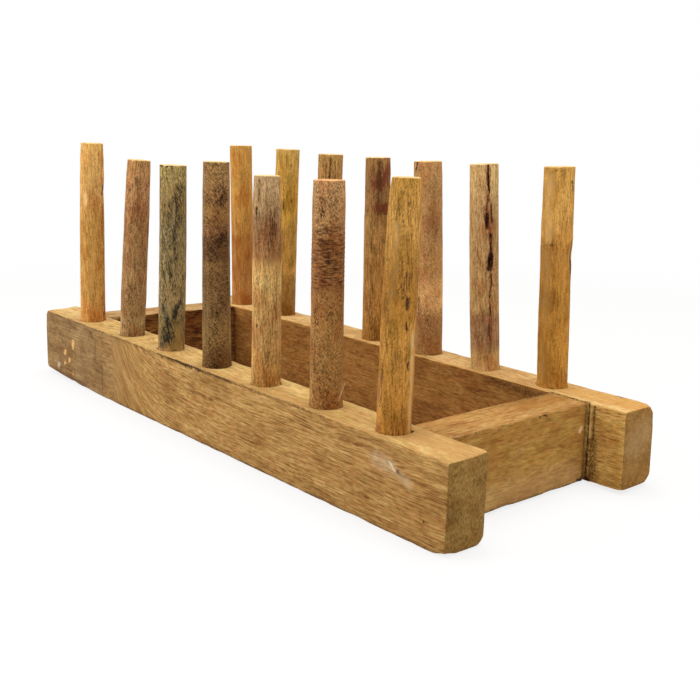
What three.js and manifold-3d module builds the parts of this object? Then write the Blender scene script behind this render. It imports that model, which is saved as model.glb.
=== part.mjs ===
// Free-standing plate rack in hardwood: two long rails and two cross rails nailed into a frame,
// with a row of hand-shaped pegs seated in blind sockets along each long rail.
// Millimetres. X runs along the long rails, Y from front to back and Z up. The origin is on the
// surface that the rack stands on, under the middle of its bounding box.
import * as THREE from 'three';
import { mergeVertices } from 'three/addons/utils/BufferGeometryUtils.js';
import Module from 'manifold-3d';

const wasm = await Module();
wasm.setup();

// Frame
const railLength = 435;
const railThick = 25.4;
const railHeight = 44.5; // at the right-hand end
const railRise = 3.8; // how much higher the top stands at the left-hand end
const frameDepth = 152.7; // over both long rails
const backRailShortLeft = 19; // the back rail stops short of the front one by this much
const backRailShortRight = 1.3;
const edgeEase = 1.2; // sanded edges
const footRound = 4; // rounding at the lower corners of a rail's ends
const topRound = 2 * edgeEase; // and at its upper corners
const frontUndercut = 2; // the front rail's right-hand end leans in towards the foot
const backUndercut = -0.5; // and the back rail's leans out
const endSlant = 2.5; // the left-hand ends lean out towards the foot
const rockerLift = 3.9; // how far the front rail's underside sweeps up at its left-hand end
const rockerRun = 116; // and the length that it takes

// Cross rails
const crossWidth = 27;
const overhangRight = 24; // long rail left free outside the cross rail
const overhangLeft = 31.5; // the same at the left, measured at the front rail
const crossSkew = 11; // the left cross rail's back end stands this much further in
const crossLift = 1.2; // cross rails clear the resting surface
const jointGap = 0.3; // glue line between a cross rail and a long rail

// Pegs
const pegDiameter = railThick * (2 / 3);
const pegHeight = 120; // above the rail
const seatDepth = railHeight * (2 / 3); // depth of a peg's blind socket
const seatClearance = 0.3;
const pegEase = 0.9; // worn rim at a peg's ends
const frontMarginLeft = 58.7; // rail end to the centre of the nearest peg
const frontMarginRight = 49.9;
const backMarginLeft = 42.5;
const backMarginRight = 57.8;

// Nails, two to a joint, punched under the surface and stopped with filler
const nailLength = 52;
const nailDiameter = 2.8;
const nailHeadDiameter = 4;
const nailHeadHeight = 1.8;
const nailPoint = 5; // length of the tapered tip
const fillerDepth = 2;
const fillerDiameter = 4.4;
const nailInsetRight = 12; // from the cross rail's outer side, clear of the nearest socket
const nailInsetLeft = 5.5;
const nailHeights = [0.31, 0.71]; // shares of the rail's height
const nailClearance = 0.3;

const sidesOfPeg = 24;
const sidesOfNail = 12;

const frontY = -frameDepth / 2 + railThick / 2;
const backY = frameDepth / 2 - railThick / 2;
const frontRail = {
  row: 'front',
  left: -railLength / 2,
  right: railLength / 2,
  y: frontY,
  undercut: frontUndercut,
};
const backRail = {
  row: 'back',
  left: frontRail.left + backRailShortLeft,
  right: frontRail.right - backRailShortRight,
  y: backY,
  undercut: backUndercut,
};

// Every peg is whittled by hand. along shifts it from its even place, lean is the sideways travel
// of its axis up to the tip, rise its extra height, and girth what is added to the diameter
// at the rail, at mid height, near the top and at the tip.
const frontPegs = [
  { along: 0, lean: [3.1, 3.8], rise: 5.8, girth: [0.7, 0.9, 0.2, -1.1], colour: 0xc3924e },
  { along: 6.4, lean: [5.7, 6.9], rise: -3.3, girth: [-0.3, 0.2, -0.6, -1.7], colour: 0x8f6d49 },
  { along: 5.2, lean: [2.9, 3.5], rise: -4.8, girth: [-0.1, 0.3, 0.2, -0.1], colour: 0x7f7355 },
  { along: 5.7, lean: [1.2, 1.5], rise: -0.8, girth: [0.4, -0.2, -0.9, -1.7], colour: 0x7d5c38 },
  { along: 2.5, lean: [0.9, 1.2], rise: -6.2, girth: [-0.5, -1.0, -1.4, -2.8], colour: 0x9a7446 },
  { along: 2.3, lean: [0.7, 0.9], rise: -5.7, girth: [0.4, 0.1, 0, -1.0], colour: 0x8d6441 },
  { along: 0, lean: [2.3, 2.8], rise: -1.7, girth: [0, -0.5, -1.7, -3.6], colour: 0xa5803c },
];
const backPegs = [
  { along: 0, lean: [-0.3, -0.3], rise: 3.9, girth: [0.9, 1.0, 0.9, 0.5], colour: 0xb98c4c },
  { along: 3.1, lean: [2.4, 3.0], rise: 2.8, girth: [0.6, 0.5, 0.5, 0.3], colour: 0x9c7c42 },
  { along: 3.4, lean: [1.7, 2.1], rise: 0.8, girth: [0.4, 0.5, 0.7, 0.3], colour: 0x9a7b55 },
  { along: 5.6, lean: [-0.2, -0.2], rise: 0.4, girth: [1.3, 1.1, 0.1, -0.8], colour: 0x84694a },
  { along: 4.1, lean: [-2.0, -2.4], rise: -0.1, girth: [1.5, 1.4, 1.2, 1.0], colour: 0x94704c },
  { along: 1.5, lean: [-3.4, -4.2], rise: 0.3, girth: [0.5, 0.6, 0.2, -0.3], colour: 0x9b7853 },
  { along: 0, lean: [-1.6, -1.9], rise: 0.8, girth: [0.2, 0.6, 0.3, 0], colour: 0xb08f4a },
];

// The frame's top surface falls slightly from left to right.
function topAt(x) {
  return railHeight + (railRise * (railLength / 2 - x)) / railLength;
}

// A lathe turned so that its axis is Z.
function turned(profile, sides) {
  const points = profile.map(([radius, z]) => new THREE.Vector2(radius, z));
  return new THREE.LatheGeometry(points, sides).rotateX(Math.PI / 2);
}

// A closed solid from a geometry, without the flat triangles that a lathe leaves on its axis.
function toSolid(geometry) {
  const bare = geometry.clone();
  bare.deleteAttribute('normal');
  bare.deleteAttribute('uv');
  const merged = mergeVertices(bare, 1e-4);
  const corners = merged.index.array;
  const triVerts = [];
  for (let i = 0; i < corners.length; i += 3) {
    const [a, b, c] = corners.slice(i, i + 3);
    if (a !== b && b !== c && c !== a) {
      triVerts.push(a, b, c);
    }
  }
  return new wasm.Manifold(new wasm.Mesh({
    numProp: 3,
    vertProperties: new Float32Array(merged.attributes.position.array),
    triVerts: new Uint32Array(triVerts),
  }));
}

function toGeometry(solid) {
  const mesh = solid.getMesh();
  const geometry = new THREE.BufferGeometry();
  geometry.setAttribute('position', new THREE.BufferAttribute(mesh.vertProperties, 3));
  geometry.setIndex(new THREE.BufferAttribute(mesh.triVerts, 1));
  geometry.computeVertexNormals();
  return geometry;
}

function cutAway(geometry, cutters) {
  let solid = toSolid(geometry);
  for (const cutter of cutters) {
    solid = solid.subtract(toSolid(cutter));
  }
  return toGeometry(solid);
}

// Side view of a long rail, with a flat foot, rounded corners and out-of-square ends.
function railOutline({ left, right, undercut }, lift, run) {
  const footRight = right - undercut;
  const topLeft = left + endSlant;
  const outline = new THREE.Shape();
  outline.moveTo(left + run, 0);
  outline.lineTo(footRight - footRound, 0);
  outline.quadraticCurveTo(footRight, 0, footRight, footRound);
  outline.lineTo(right, topAt(right) - topRound);
  outline.quadraticCurveTo(right, topAt(right), right - topRound, topAt(right));
  outline.lineTo(topLeft + topRound, topAt(topLeft + topRound));
  outline.quadraticCurveTo(topLeft, topAt(topLeft), topLeft, topAt(topLeft) - topRound);
  outline.lineTo(left, lift + footRound);
  if (lift > 0) {
    const sweepEnd = lift * (1 - footRound / run) ** 2;
    outline.quadraticCurveTo(left, lift, left + footRound, sweepEnd);
    outline.quadraticCurveTo(left + (run + footRound) / 2, 0, left + run, 0);
  } else {
    outline.quadraticCurveTo(left, 0, left + footRound, 0);
  }
  return outline;
}

function easedExtrusion(outline, depth) {
  return new THREE.ExtrudeGeometry(outline, {
    depth: depth - 2 * edgeEase,
    bevelThickness: edgeEase,
    bevelSize: edgeEase,
    bevelOffset: -edgeEase,
    bevelSegments: 2,
    curveSegments: 4,
  }).translate(0, 0, edgeEase);
}

function railBlank(rail, lift, run) {
  const blank = easedExtrusion(railOutline(rail, lift, run), railThick);
  return blank.rotateX(Math.PI / 2).translate(0, rail.y + railThick / 2, 0);
}

// Plan view of a cross rail between the long rails.
function crossOutline(cross) {
  const halfWidth = crossWidth / 2;
  const outline = new THREE.Shape();
  outline.moveTo(cross.xFront - halfWidth, -crossReach);
  outline.lineTo(cross.xFront + halfWidth, -crossReach);
  outline.lineTo(cross.xBack + halfWidth, crossReach);
  outline.lineTo(cross.xBack - halfWidth, crossReach);
  outline.closePath();
  return outline;
}

function crossBlank(cross) {
  const top = topAt((cross.xFront + cross.xBack) / 2);
  return easedExtrusion(crossOutline(cross), top - crossLift).translate(0, 0, crossLift);
}

const crossReach = frameDepth / 2 - railThick - jointGap;
const leftCrossX = frontRail.left + overhangLeft + crossWidth / 2;
const rightCrossX = frontRail.right - overhangRight - crossWidth / 2;
const leftCross = {
  side: 'left',
  xFront: leftCrossX,
  xBack: leftCrossX + crossSkew,
  nailStep: nailInsetLeft - crossWidth / 2,
};
const rightCross = {
  side: 'right',
  xFront: rightCrossX,
  xBack: rightCrossX,
  nailStep: crossWidth / 2 - nailInsetRight,
};

// Pegs of one row, spread evenly between the two end margins and then shifted one by one.
function placePegs(pegs, rail, marginLeft, marginRight) {
  const first = rail.left + marginLeft;
  const pitch = (rail.right - marginRight - first) / (pegs.length - 1);
  return pegs.map((peg, index) => {
    const x = first + pitch * index + peg.along;
    const height = pegHeight + peg.rise;
    const axis = new THREE.Vector3(peg.lean[0], peg.lean[1], height).normalize();
    const turn = new THREE.Quaternion().setFromUnitVectors(new THREE.Vector3(0, 0, 1), axis);
    const foot = new THREE.Vector3(x, rail.y, topAt(x));
    return { ...peg, height, turn, foot, footRadius: (pegDiameter + peg.girth[0]) / 2 };
  });
}

function pegGeometry(peg) {
  const [footRadius, waistRadius, shoulderRadius, tipRadius] =
    peg.girth.map((extra) => (pegDiameter + extra) / 2);
  const bottom = -seatDepth + seatClearance;
  return turned([
    [0, bottom],
    [footRadius - pegEase, bottom],
    [footRadius, bottom + pegEase],
    [footRadius, 0],
    [waistRadius, peg.height * 0.45],
    [shoulderRadius, peg.height * 0.88],
    [tipRadius, peg.height - pegEase],
    [tipRadius - pegEase, peg.height],
    [0, peg.height],
  ], sidesOfPeg);
}

function socketCutter(peg) {
  const radius = peg.footRadius + seatClearance;
  const aboveRail = 5;
  const socket = turned([
    [0, -seatDepth],
    [radius, -seatDepth],
    [radius, aboveRail],
    [0, aboveRail],
  ], sidesOfPeg);
  return socket.applyQuaternion(peg.turn).translate(peg.foot.x, peg.foot.y, peg.foot.z);
}

// Where the nails of one joint enter: on the long rail's outer face, pointing at the cross rail.
function placeNails(rail, cross, crossX) {
  const x = crossX + cross.nailStep;
  return nailHeights.map((share, index) => ({
    name: `${rail.row}_${cross.side}_${index === 0 ? 'lower' : 'upper'}`,
    rail,
    cross,
    face: new THREE.Vector3(x, rail.y + Math.sign(rail.y) * (railThick / 2), topAt(x) * share),
  }));
}

// Things along a nail are drawn with Z as the depth under the outer face.
function driven(geometry, nail) {
  const inwards = -Math.sign(nail.rail.y);
  geometry.rotateX(-inwards * Math.PI / 2);
  return geometry.translate(nail.face.x, nail.face.y, nail.face.z);
}

function nailGeometry() {
  const radius = nailDiameter / 2;
  const headRadius = nailHeadDiameter / 2;
  const tipRadius = 0.4;
  return turned([
    [0, fillerDepth],
    [headRadius, fillerDepth],
    [headRadius, fillerDepth + nailHeadHeight / 2],
    [radius, fillerDepth + nailHeadHeight],
    [radius, fillerDepth + nailLength - nailPoint],
    [tipRadius, fillerDepth + nailLength],
    [0, fillerDepth + nailLength],
  ], sidesOfNail);
}

function fillerGeometry() {
  const radius = fillerDiameter / 2;
  const underFace = 0.1;
  return turned([
    [0, underFace],
    [radius, underFace],
    [radius, fillerDepth - nailClearance],
    [0, fillerDepth - nailClearance],
  ], sidesOfNail);
}

function nailHoleCutter() {
  const mouthRadius = Math.max(fillerDiameter, nailHeadDiameter) / 2 + nailClearance;
  const boreRadius = nailDiameter / 2 + nailClearance;
  const outsideFace = 2;
  const headEnd = fillerDepth + nailHeadHeight + nailClearance;
  const boreEnd = fillerDepth + nailLength + nailClearance;
  return turned([
    [0, -outsideFace],
    [mouthRadius, -outsideFace],
    [mouthRadius, headEnd],
    [boreRadius, headEnd],
    [boreRadius, boreEnd],
    [0, boreEnd],
  ], sidesOfNail);
}

const pegsInFront = placePegs(frontPegs, frontRail, frontMarginLeft, frontMarginRight);
const pegsAtBack = placePegs(backPegs, backRail, backMarginLeft, backMarginRight);
const nails = [
  ...placeNails(frontRail, leftCross, leftCross.xFront),
  ...placeNails(frontRail, rightCross, rightCross.xFront),
  ...placeNails(backRail, leftCross, leftCross.xBack),
  ...placeNails(backRail, rightCross, rightCross.xBack),
];

const rack = new THREE.Group();

function addPart(name, geometry, colour, roughness, metalness = 0) {
  const part = new THREE.Mesh(
    geometry,
    new THREE.MeshStandardMaterial({ color: colour, roughness, metalness }),
  );
  part.name = name;
  rack.add(part);
  return part;
}

function addRail(rail, blank, pegs, colour) {
  const holes = nails.filter((nail) => nail.rail === rail)
    .map((nail) => driven(nailHoleCutter(), nail));
  const sockets = pegs.map(socketCutter);
  addPart(`${rail.row}_rail`, cutAway(blank, [...sockets, ...holes]), colour, 0.62);
}

function addCross(cross, colour) {
  const holes = nails.filter((nail) => nail.cross === cross)
    .map((nail) => driven(nailHoleCutter(), nail));
  addPart(`${cross.side}_cross_rail`, cutAway(crossBlank(cross), holes), colour, 0.58);
}

function addPegs(rail, pegs) {
  pegs.forEach((peg, index) => {
    const part = addPart(`${rail.row}_peg_${index + 1}`, pegGeometry(peg), peg.colour, 0.66);
    part.position.copy(peg.foot);
    part.quaternion.copy(peg.turn);
  });
}

addRail(frontRail, railBlank(frontRail, rockerLift, rockerRun), pegsInFront, 0xa97a42);
addRail(backRail, railBlank(backRail, 0, footRound), pegsAtBack, 0xb0824a);
addCross(leftCross, 0xa87c46);
addCross(rightCross, 0xb98d50);
addPegs(frontRail, pegsInFront);
addPegs(backRail, pegsAtBack);
for (const nail of nails) {
  addPart(`${nail.name}_nail`, driven(nailGeometry(), nail), 0x6f6d69, 0.4, 0.9);
  addPart(`${nail.name}_filler`, driven(fillerGeometry(), nail), 0xb38b58, 0.8);
}

export default rack;
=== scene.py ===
import math
import random
import bpy
import bmesh
from mathutils import Matrix, Vector, noise


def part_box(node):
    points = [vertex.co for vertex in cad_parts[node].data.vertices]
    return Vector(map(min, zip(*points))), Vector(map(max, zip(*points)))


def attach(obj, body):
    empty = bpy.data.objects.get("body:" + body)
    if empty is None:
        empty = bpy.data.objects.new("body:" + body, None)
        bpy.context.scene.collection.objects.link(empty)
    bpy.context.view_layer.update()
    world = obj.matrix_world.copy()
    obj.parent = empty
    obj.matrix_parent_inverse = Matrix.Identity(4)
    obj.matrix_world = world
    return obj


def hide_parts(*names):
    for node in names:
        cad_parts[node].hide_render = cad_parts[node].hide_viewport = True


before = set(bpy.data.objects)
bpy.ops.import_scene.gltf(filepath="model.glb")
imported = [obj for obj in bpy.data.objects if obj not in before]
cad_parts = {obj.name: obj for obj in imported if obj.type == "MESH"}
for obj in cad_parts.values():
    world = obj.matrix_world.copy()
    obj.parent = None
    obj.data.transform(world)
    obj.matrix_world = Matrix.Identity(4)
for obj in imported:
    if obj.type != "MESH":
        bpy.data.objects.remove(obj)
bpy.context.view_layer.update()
scene = bpy.context.scene
mm = 0.001  # sizes below are in millimetres
print("frame loaded")


# camera, at the photograph's place
cameraView = {
    "place": (497.2, -361.7, 182.0),
    "yaw": 140.59,  # degrees from +X, the way it looks
    "pitch": 12.52,  # below the horizon
    "roll": 0.60,
    "lens": 50.3,
    "sensor": 36.0,
    "clipStart": 0.01,  # metres
}


def aimCamera(view):
    yaw, pitch, roll = (math.radians(view[key]) for key in ("yaw", "pitch", "roll"))
    ahead = Vector((
        math.cos(pitch) * math.cos(yaw),
        math.cos(pitch) * math.sin(yaw),
        -math.sin(pitch),
    ))
    level = Vector((math.sin(yaw), -math.cos(yaw), 0))
    right = Matrix.Rotation(roll, 3, -ahead) @ level
    above = right.cross(ahead)
    data = bpy.data.cameras.new("camera")
    data.sensor_fit = "HORIZONTAL"
    data.sensor_width = view["sensor"]
    data.lens = view["lens"]
    data.clip_start = view["clipStart"]
    camera = bpy.data.objects.new("camera", data)
    camera.matrix_world = (
        Matrix.Translation(Vector(view["place"]) * mm)
        @ Matrix((right, above, -ahead)).transposed().to_4x4()
    )
    scene.collection.objects.link(camera)
    scene.camera = camera


aimCamera(cameraView)


# colours and shader nodes
def linear(hexColour):
    channels = [int(hexColour[i:i + 2], 16) / 255 for i in (0, 2, 4)]
    return [c / 12.92 if c <= 0.04045 else ((c + 0.055) / 1.055) ** 2.4 for c in channels] + [1.0]


def addNode(tree, kind, settings=None, inputs=None):
    node = tree.nodes.new("ShaderNode" + kind)
    for name, value in (settings or {}).items():
        if name == "stops":  # a ramp's places and colours
            ramp = node.color_ramp
            while len(ramp.elements) < len(value):
                ramp.elements.new(1.0)
            for element, (place, colour) in zip(ramp.elements, value):
                element.position = place
                element.color = linear(colour)
        else:
            setattr(node, name, value)
    for socket, value in (inputs or {}).items():
        if isinstance(value, bpy.types.Node):
            tree.links.new(value.outputs[0], node.inputs[socket])
        elif isinstance(value, bpy.types.NodeSocket):
            tree.links.new(value, node.inputs[socket])
        else:
            node.inputs[socket].default_value = value
    return node


# settings that many nodes share
easedRange = {"interpolation_type": "SMOOTHSTEP"}
colourMix = {"data_type": "RGBA"}
valueMix = {"data_type": "FLOAT"}


def newMaterial(name):
    material = bpy.data.materials.new(name)
    material.use_nodes = True
    material.node_tree.nodes.clear()
    return material, material.node_tree


# light and floor
studio = {
    "sky": 0.36,  # level of the light from all round
    "lampAim": (0, 0, 60),
    "keyFrom": (-560, -860, 560),
    "keySize": 700,
    "keyWatts": 8.0,
    "topFrom": (60, 60, 1300),
    "topSize": 1100,
    "topWatts": 20.0,
    "fillFrom": (820, 60, 400),
    "fillSize": 500,
    "fillWatts": 2.1,
    "floorColour": "d8d6d2",
    "shadeColour": "5a3a20",  # of the paper right beside the boards, inside the frame: painted shade
    "floorGlow": 0.8,  # share of plain white that the camera sees in the floor, near the rack
    "floorNear": 0.30,  # metres from the middle where that share starts to rise to all
    "floorFar": 0.95,
    "floorSize": 9000,
    "wellHalf": (184, 64),  # half the length and width of the opening in the frame
    "wellShade": (0.7, 0.95),  # shares of that half between which the shade sets in
    "wellEdge": 0.99,
}


def hangLamp(name, look):
    data = bpy.data.lights.new(name + "Lamp", "AREA")
    data.shape = "DISK"
    data.size = look[name + "Size"] * mm
    data.energy = look[name + "Watts"]
    lamp = bpy.data.objects.new(name + "Lamp", data)
    lamp.location = Vector(look[name + "From"]) * mm
    towardsRack = Vector(look["lampAim"]) * mm - lamp.location
    lamp.rotation_euler = towardsRack.to_track_quat("-Z", "Y").to_euler()
    scene.collection.objects.link(lamp)


def seenDirectly(tree):
    # 1 for what the camera sees, also through gloss and glass
    path = addNode(tree, "LightPath")
    seen = addNode(tree, "Math", {"operation": "MAXIMUM"}, {
        0: path.outputs["Is Camera Ray"], 1: path.outputs["Is Glossy Ray"]})
    return addNode(tree, "Math", {"operation": "MAXIMUM"}, {
        0: seen, 1: path.outputs["Is Transmission Ray"]})


def lightStudio(look):
    for lamp in ("key", "top", "fill"):
        hangLamp(lamp, look)
    world = bpy.data.worlds.new("studio")
    scene.world = world
    world.use_nodes = True
    tree = world.node_tree
    tree.nodes.clear()
    level = addNode(tree, "MapRange", None, {0: seenDirectly(tree), 3: look["sky"]})
    sky = addNode(tree, "Background", None, {"Color": (1, 1, 1, 1), "Strength": level})
    addNode(tree, "OutputWorld", None, {0: sky})


def layFloor(look):
    # matt white paper that fades into the white of the sky, with the rack's shadow on it and a painted
    # shade inside the frame
    material, tree = newMaterial("whitePaper")
    place = addNode(tree, "TexCoord")
    away = addNode(tree, "VectorMath", {"operation": "LENGTH"}, {0: place.outputs["Object"]})
    glowShare = addNode(tree, "MapRange", easedRange, {
        0: away.outputs["Value"], 1: look["floorNear"], 2: look["floorFar"], 3: look["floorGlow"]})
    share = addNode(tree, "Math", {"operation": "MULTIPLY"}, {0: seenDirectly(tree), 1: glowShare})
    # painted shade: inside the frame, near the boards, the paper's colour is mixed towards a dark brown
    inset = addNode(tree, "VectorMath", {"operation": "MULTIPLY"}, {
        0: place.outputs["Object"], 1: [1 / (half * mm) for half in look["wellHalf"]] + [0]})
    inset = addNode(tree, "VectorMath", {"operation": "ABSOLUTE"}, {0: inset})
    sides = addNode(tree, "SeparateXYZ", None, {0: inset}).outputs
    outside = addNode(tree, "Math", {"operation": "MAXIMUM"}, {0: sides[0], 1: sides[1]})
    shadeFrom, shadeTo = look["wellShade"]
    beside = addNode(tree, "MapRange", None, {0: outside, 1: shadeFrom, 2: shadeTo})
    outside = addNode(tree, "MapRange", None, {0: outside, 1: look["wellEdge"]})
    share = addNode(tree, "Math", {"operation": "MULTIPLY"}, {0: share, 1: outside})
    beside = addNode(tree, "Math", {"operation": "SUBTRACT", "use_clamp": True}, {0: beside, 1: outside})
    shaded = addNode(tree, "Mix", colourMix, {
        0: beside, 6: linear(look["floorColour"]), 7: linear(look["shadeColour"])})
    paper = addNode(tree, "BsdfDiffuse", None, {0: shaded.outputs[2]})
    glow = addNode(tree, "Emission", None, {0: (1, 1, 1, 1), 1: 1.0})
    mixed = addNode(tree, "MixShader", None, {0: share, 1: paper, 2: glow})
    addNode(tree, "OutputMaterial", None, {0: mixed})
    bm = bmesh.new()
    bmesh.ops.create_grid(bm, x_segments=1, y_segments=1, size=look["floorSize"] / 2 * mm)
    mesh = bpy.data.meshes.new("floor")
    bm.to_mesh(mesh)
    bm.free()
    mesh.materials.append(material)
    floor = bpy.data.objects.new("floor", mesh)
    scene.collection.objects.link(floor)


lightStudio(studio)
layFloor(studio)
scene.view_settings.view_transform = "Standard"
print("camera and light set")


# small tools for shaping
def smooth(low, high, value):
    share = min(max((value - low) / (high - low), 0), 1)
    return share * share * (3 - 2 * share)


def wander(x, y, z, seed=0):
    return noise.noise(Vector((x + 31.7 * seed, y - 17.3 * seed, z + 5.9 * seed)))


def atStations(stations, along):
    # a value read between given stations, eased from one to the next
    if along <= stations[0][0]:
        return stations[0][1]
    for (a, first), (b, second) in zip(stations, stations[1:]):
        if along <= b:
            return first + (second - first) * smooth(a, b, along)
    return stations[-1][1]


def distanceToLine(point, start, end):
    way = end - start
    share = (point - start).dot(way) / way.length_squared if way.length_squared else 0
    return (point - start - way * min(max(share, 0), 1)).length


def finishPiece(name, bm, material, node):
    # bm is in millimetres; the piece goes to its place in metres
    sharpAngle = math.radians(38)  # edges that turn more than this stay crisp
    bmesh.ops.recalc_face_normals(bm, faces=bm.faces)
    for edge in bm.edges:
        edge.smooth = edge.calc_face_angle(0) < sharpAngle
    for face in bm.faces:
        face.smooth = True
    bmesh.ops.scale(bm, vec=(mm, mm, mm), verts=bm.verts)
    mesh = bpy.data.meshes.new(name)
    bm.to_mesh(mesh)
    bm.free()
    mesh.materials.append(material)
    piece = bpy.data.objects.new(name, mesh)
    scene.collection.objects.link(piece)
    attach(piece, "root")
    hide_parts(node)


def cadCorners(node):
    return [corner.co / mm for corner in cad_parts[node].data.vertices]


def boxInMm(node):
    low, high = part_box(node)
    return low / mm, high / mm


# the pegs' axes, read from the frame
def pegAxis(node):
    corners = cadCorners(node)
    low, high = boxInMm(node)
    capDepth = 2.5  # takes in the whole slanting end

    def middle(points):
        xs = [p.x for p in points]
        ys = [p.y for p in points]
        return (min(xs) + max(xs)) / 2, (min(ys) + max(ys)) / 2, (max(xs) - min(xs)) / 2

    tipX, tipY, tipRadius = middle([p for p in corners if p.z > high.z - capDepth])
    footX, footY, footRadius = middle([p for p in corners if p.z < low.z + capDepth])
    tilt = math.hypot(tipX - footX, tipY - footY) / (high.z - low.z)
    foot = Vector((footX, footY, low.z + footRadius * tilt))
    tip = Vector((tipX, tipY, high.z - tipRadius * tilt))
    return foot, tip, footRadius


# the rail's top line, read from the frame
def topLine(node):
    corners = cadCorners(node)
    low, high = boxInMm(node)
    endZone = 12  # the highest corner this near an end gives the top there
    atLeft = max((p for p in corners if p.x < low.x + endZone), key=lambda p: p.z)
    atRight = max((p for p in corners if p.x > high.x - endZone), key=lambda p: p.z)
    fall = (atRight.z - atLeft.z) / (atRight.x - atLeft.x)
    return lambda x: atLeft.z + fall * (x - atLeft.x)


frontTop = topLine("front_rail")
pegNames = [f"{row}_peg_{number}" for row in ("front", "back") for number in range(1, 8)]
axes = {name: pegAxis(name) for name in pegNames}


def onRailTop(node):
    # where a peg's axis comes out of the rail
    foot, tip, _ = axes[node]
    way = (tip - foot).normalized()
    return foot + way * ((frontTop(foot.x) - foot.z) / way.z), way


# shared measures of the boards
boards = {
    "meshStep": 1.15,  # spacing of the mesh
    "ease": 0.9,  # edges broken with sandpaper
    "easeSteps": 3,
    "wave": 0.2,  # how far hand sanding leaves a face from flat
    "waveSize": (34, 30, 30),
    "edgeWear": 0.45,  # how far edges are rubbed and knocked
    "edgeReach": 2.6,  # how wide that wear runs beside an edge
    "knockSize": (12, 12, 12),
    "roughSize": (2.6, 2.2, 2.2),
    "roughDepth": 0.03,
    "wearShares": (0.12, 1.5, 0.06),  # even rubbing, knocks and roughness in an edge's wear
    "edgeDirt": 0.4,
    "dirtReach": 1.9,
    "dirtSize": 11,
    "facing": (0.45, 0.85),  # how squarely a place faces a way before it counts, and to count fully
    "fray": 0.45,  # how far marks' borders wander, as a share of their reach
    "fraySize": 2.1,
    "markEase": (1.4, 0.2),  # reaches from a mark's line at which it is gone, and full
    "markLimit": 1.8,
    "wideMark": 1.7,  # a mark that reaches further keeps to its face
    "socketSlack": 0.15,  # air round a peg in its socket
    "socketDepth": 44,
    "socketOverlap": 0.3,  # how far below the peg's foot the socket goes
    "nickDepth": 2.4,
    "endReach": 20,  # how far a long rail's end is slanted or undercut
    "crownReach": 12,
    "wellFrom": -158.5,  # the part of the long rails that looks into the frame, whose inner faces get painted shade
    "wellTo": 167.5,
    "wellHalf": 52,
}

# shared measures of the boards' wood; sizes run along, across and up the board
mango = {
    "grit": (0.8, 0.8, 1.3),  # cut fibres
    "clouds": (13, 13, 9),
    "burlLines": (18, 1.1, 1.1),
    "burlGrit": 0.5,  # share of grit among the burl's clouds
    "burlLined": 0.45,  # share of lines over both
    "cloudShift": 34.0,  # how far the clouds and the tone push the burl's border
    "toneShift": 40.0,
    "burlFade": (74, 4),  # the burl sets in between these distances past burlTo
    "burlPores": 0.25,
    "poreLevels": (0.45, 0.31),
    "endClouds": 0.26,  # share of clouds among the sawn ends' grit
    "endLevels": (0.14, 0.86),
    "patchLong": 2.2,  # a patch's length over its width
    "patchLevels": (0.45, 0.66),
    # small patches of tint: colour, size, most of it, seed
    "hues": [("a8b488", 2.2, 0.27, 21.0), ("e09a78", 1.8, 0.27, 31.0)],
    "markRise": 1.5,  # how soon a mark is as strong as it gets
    "markKinds": (("rust", 2, 0.3), ("stain", 0, 0.65), ("chip", 1, 0.9)),  # channel, raggedness
    "reliefDepth": 0.25,
    "roughness": (0.85, 0.7),
    "shine": 0.08,
}


def layMarks(tree, wood, ragged, rise, marks):
    # mixes in each mark's colour where the mesh carries it, with a ragged border
    for mark, colour, raggedness in marks:
        edge = addNode(tree, "Math", {"operation": "MULTIPLY_ADD"}, {0: ragged, 1: raggedness, 2: mark})
        cover = addNode(tree, "MapRange", easedRange, {0: edge, 1: 0.1, 2: 0.95})
        most = addNode(tree, "Math", {"operation": "MULTIPLY", "use_clamp": True}, {0: mark, 1: rise})
        cover = addNode(tree, "Math", {"operation": "MULTIPLY"}, {0: cover, 1: most})
        wood = addNode(tree, "Mix", colourMix, {0: cover, 6: wood, 7: linear(colour)}).outputs[2]
    return wood
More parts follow.
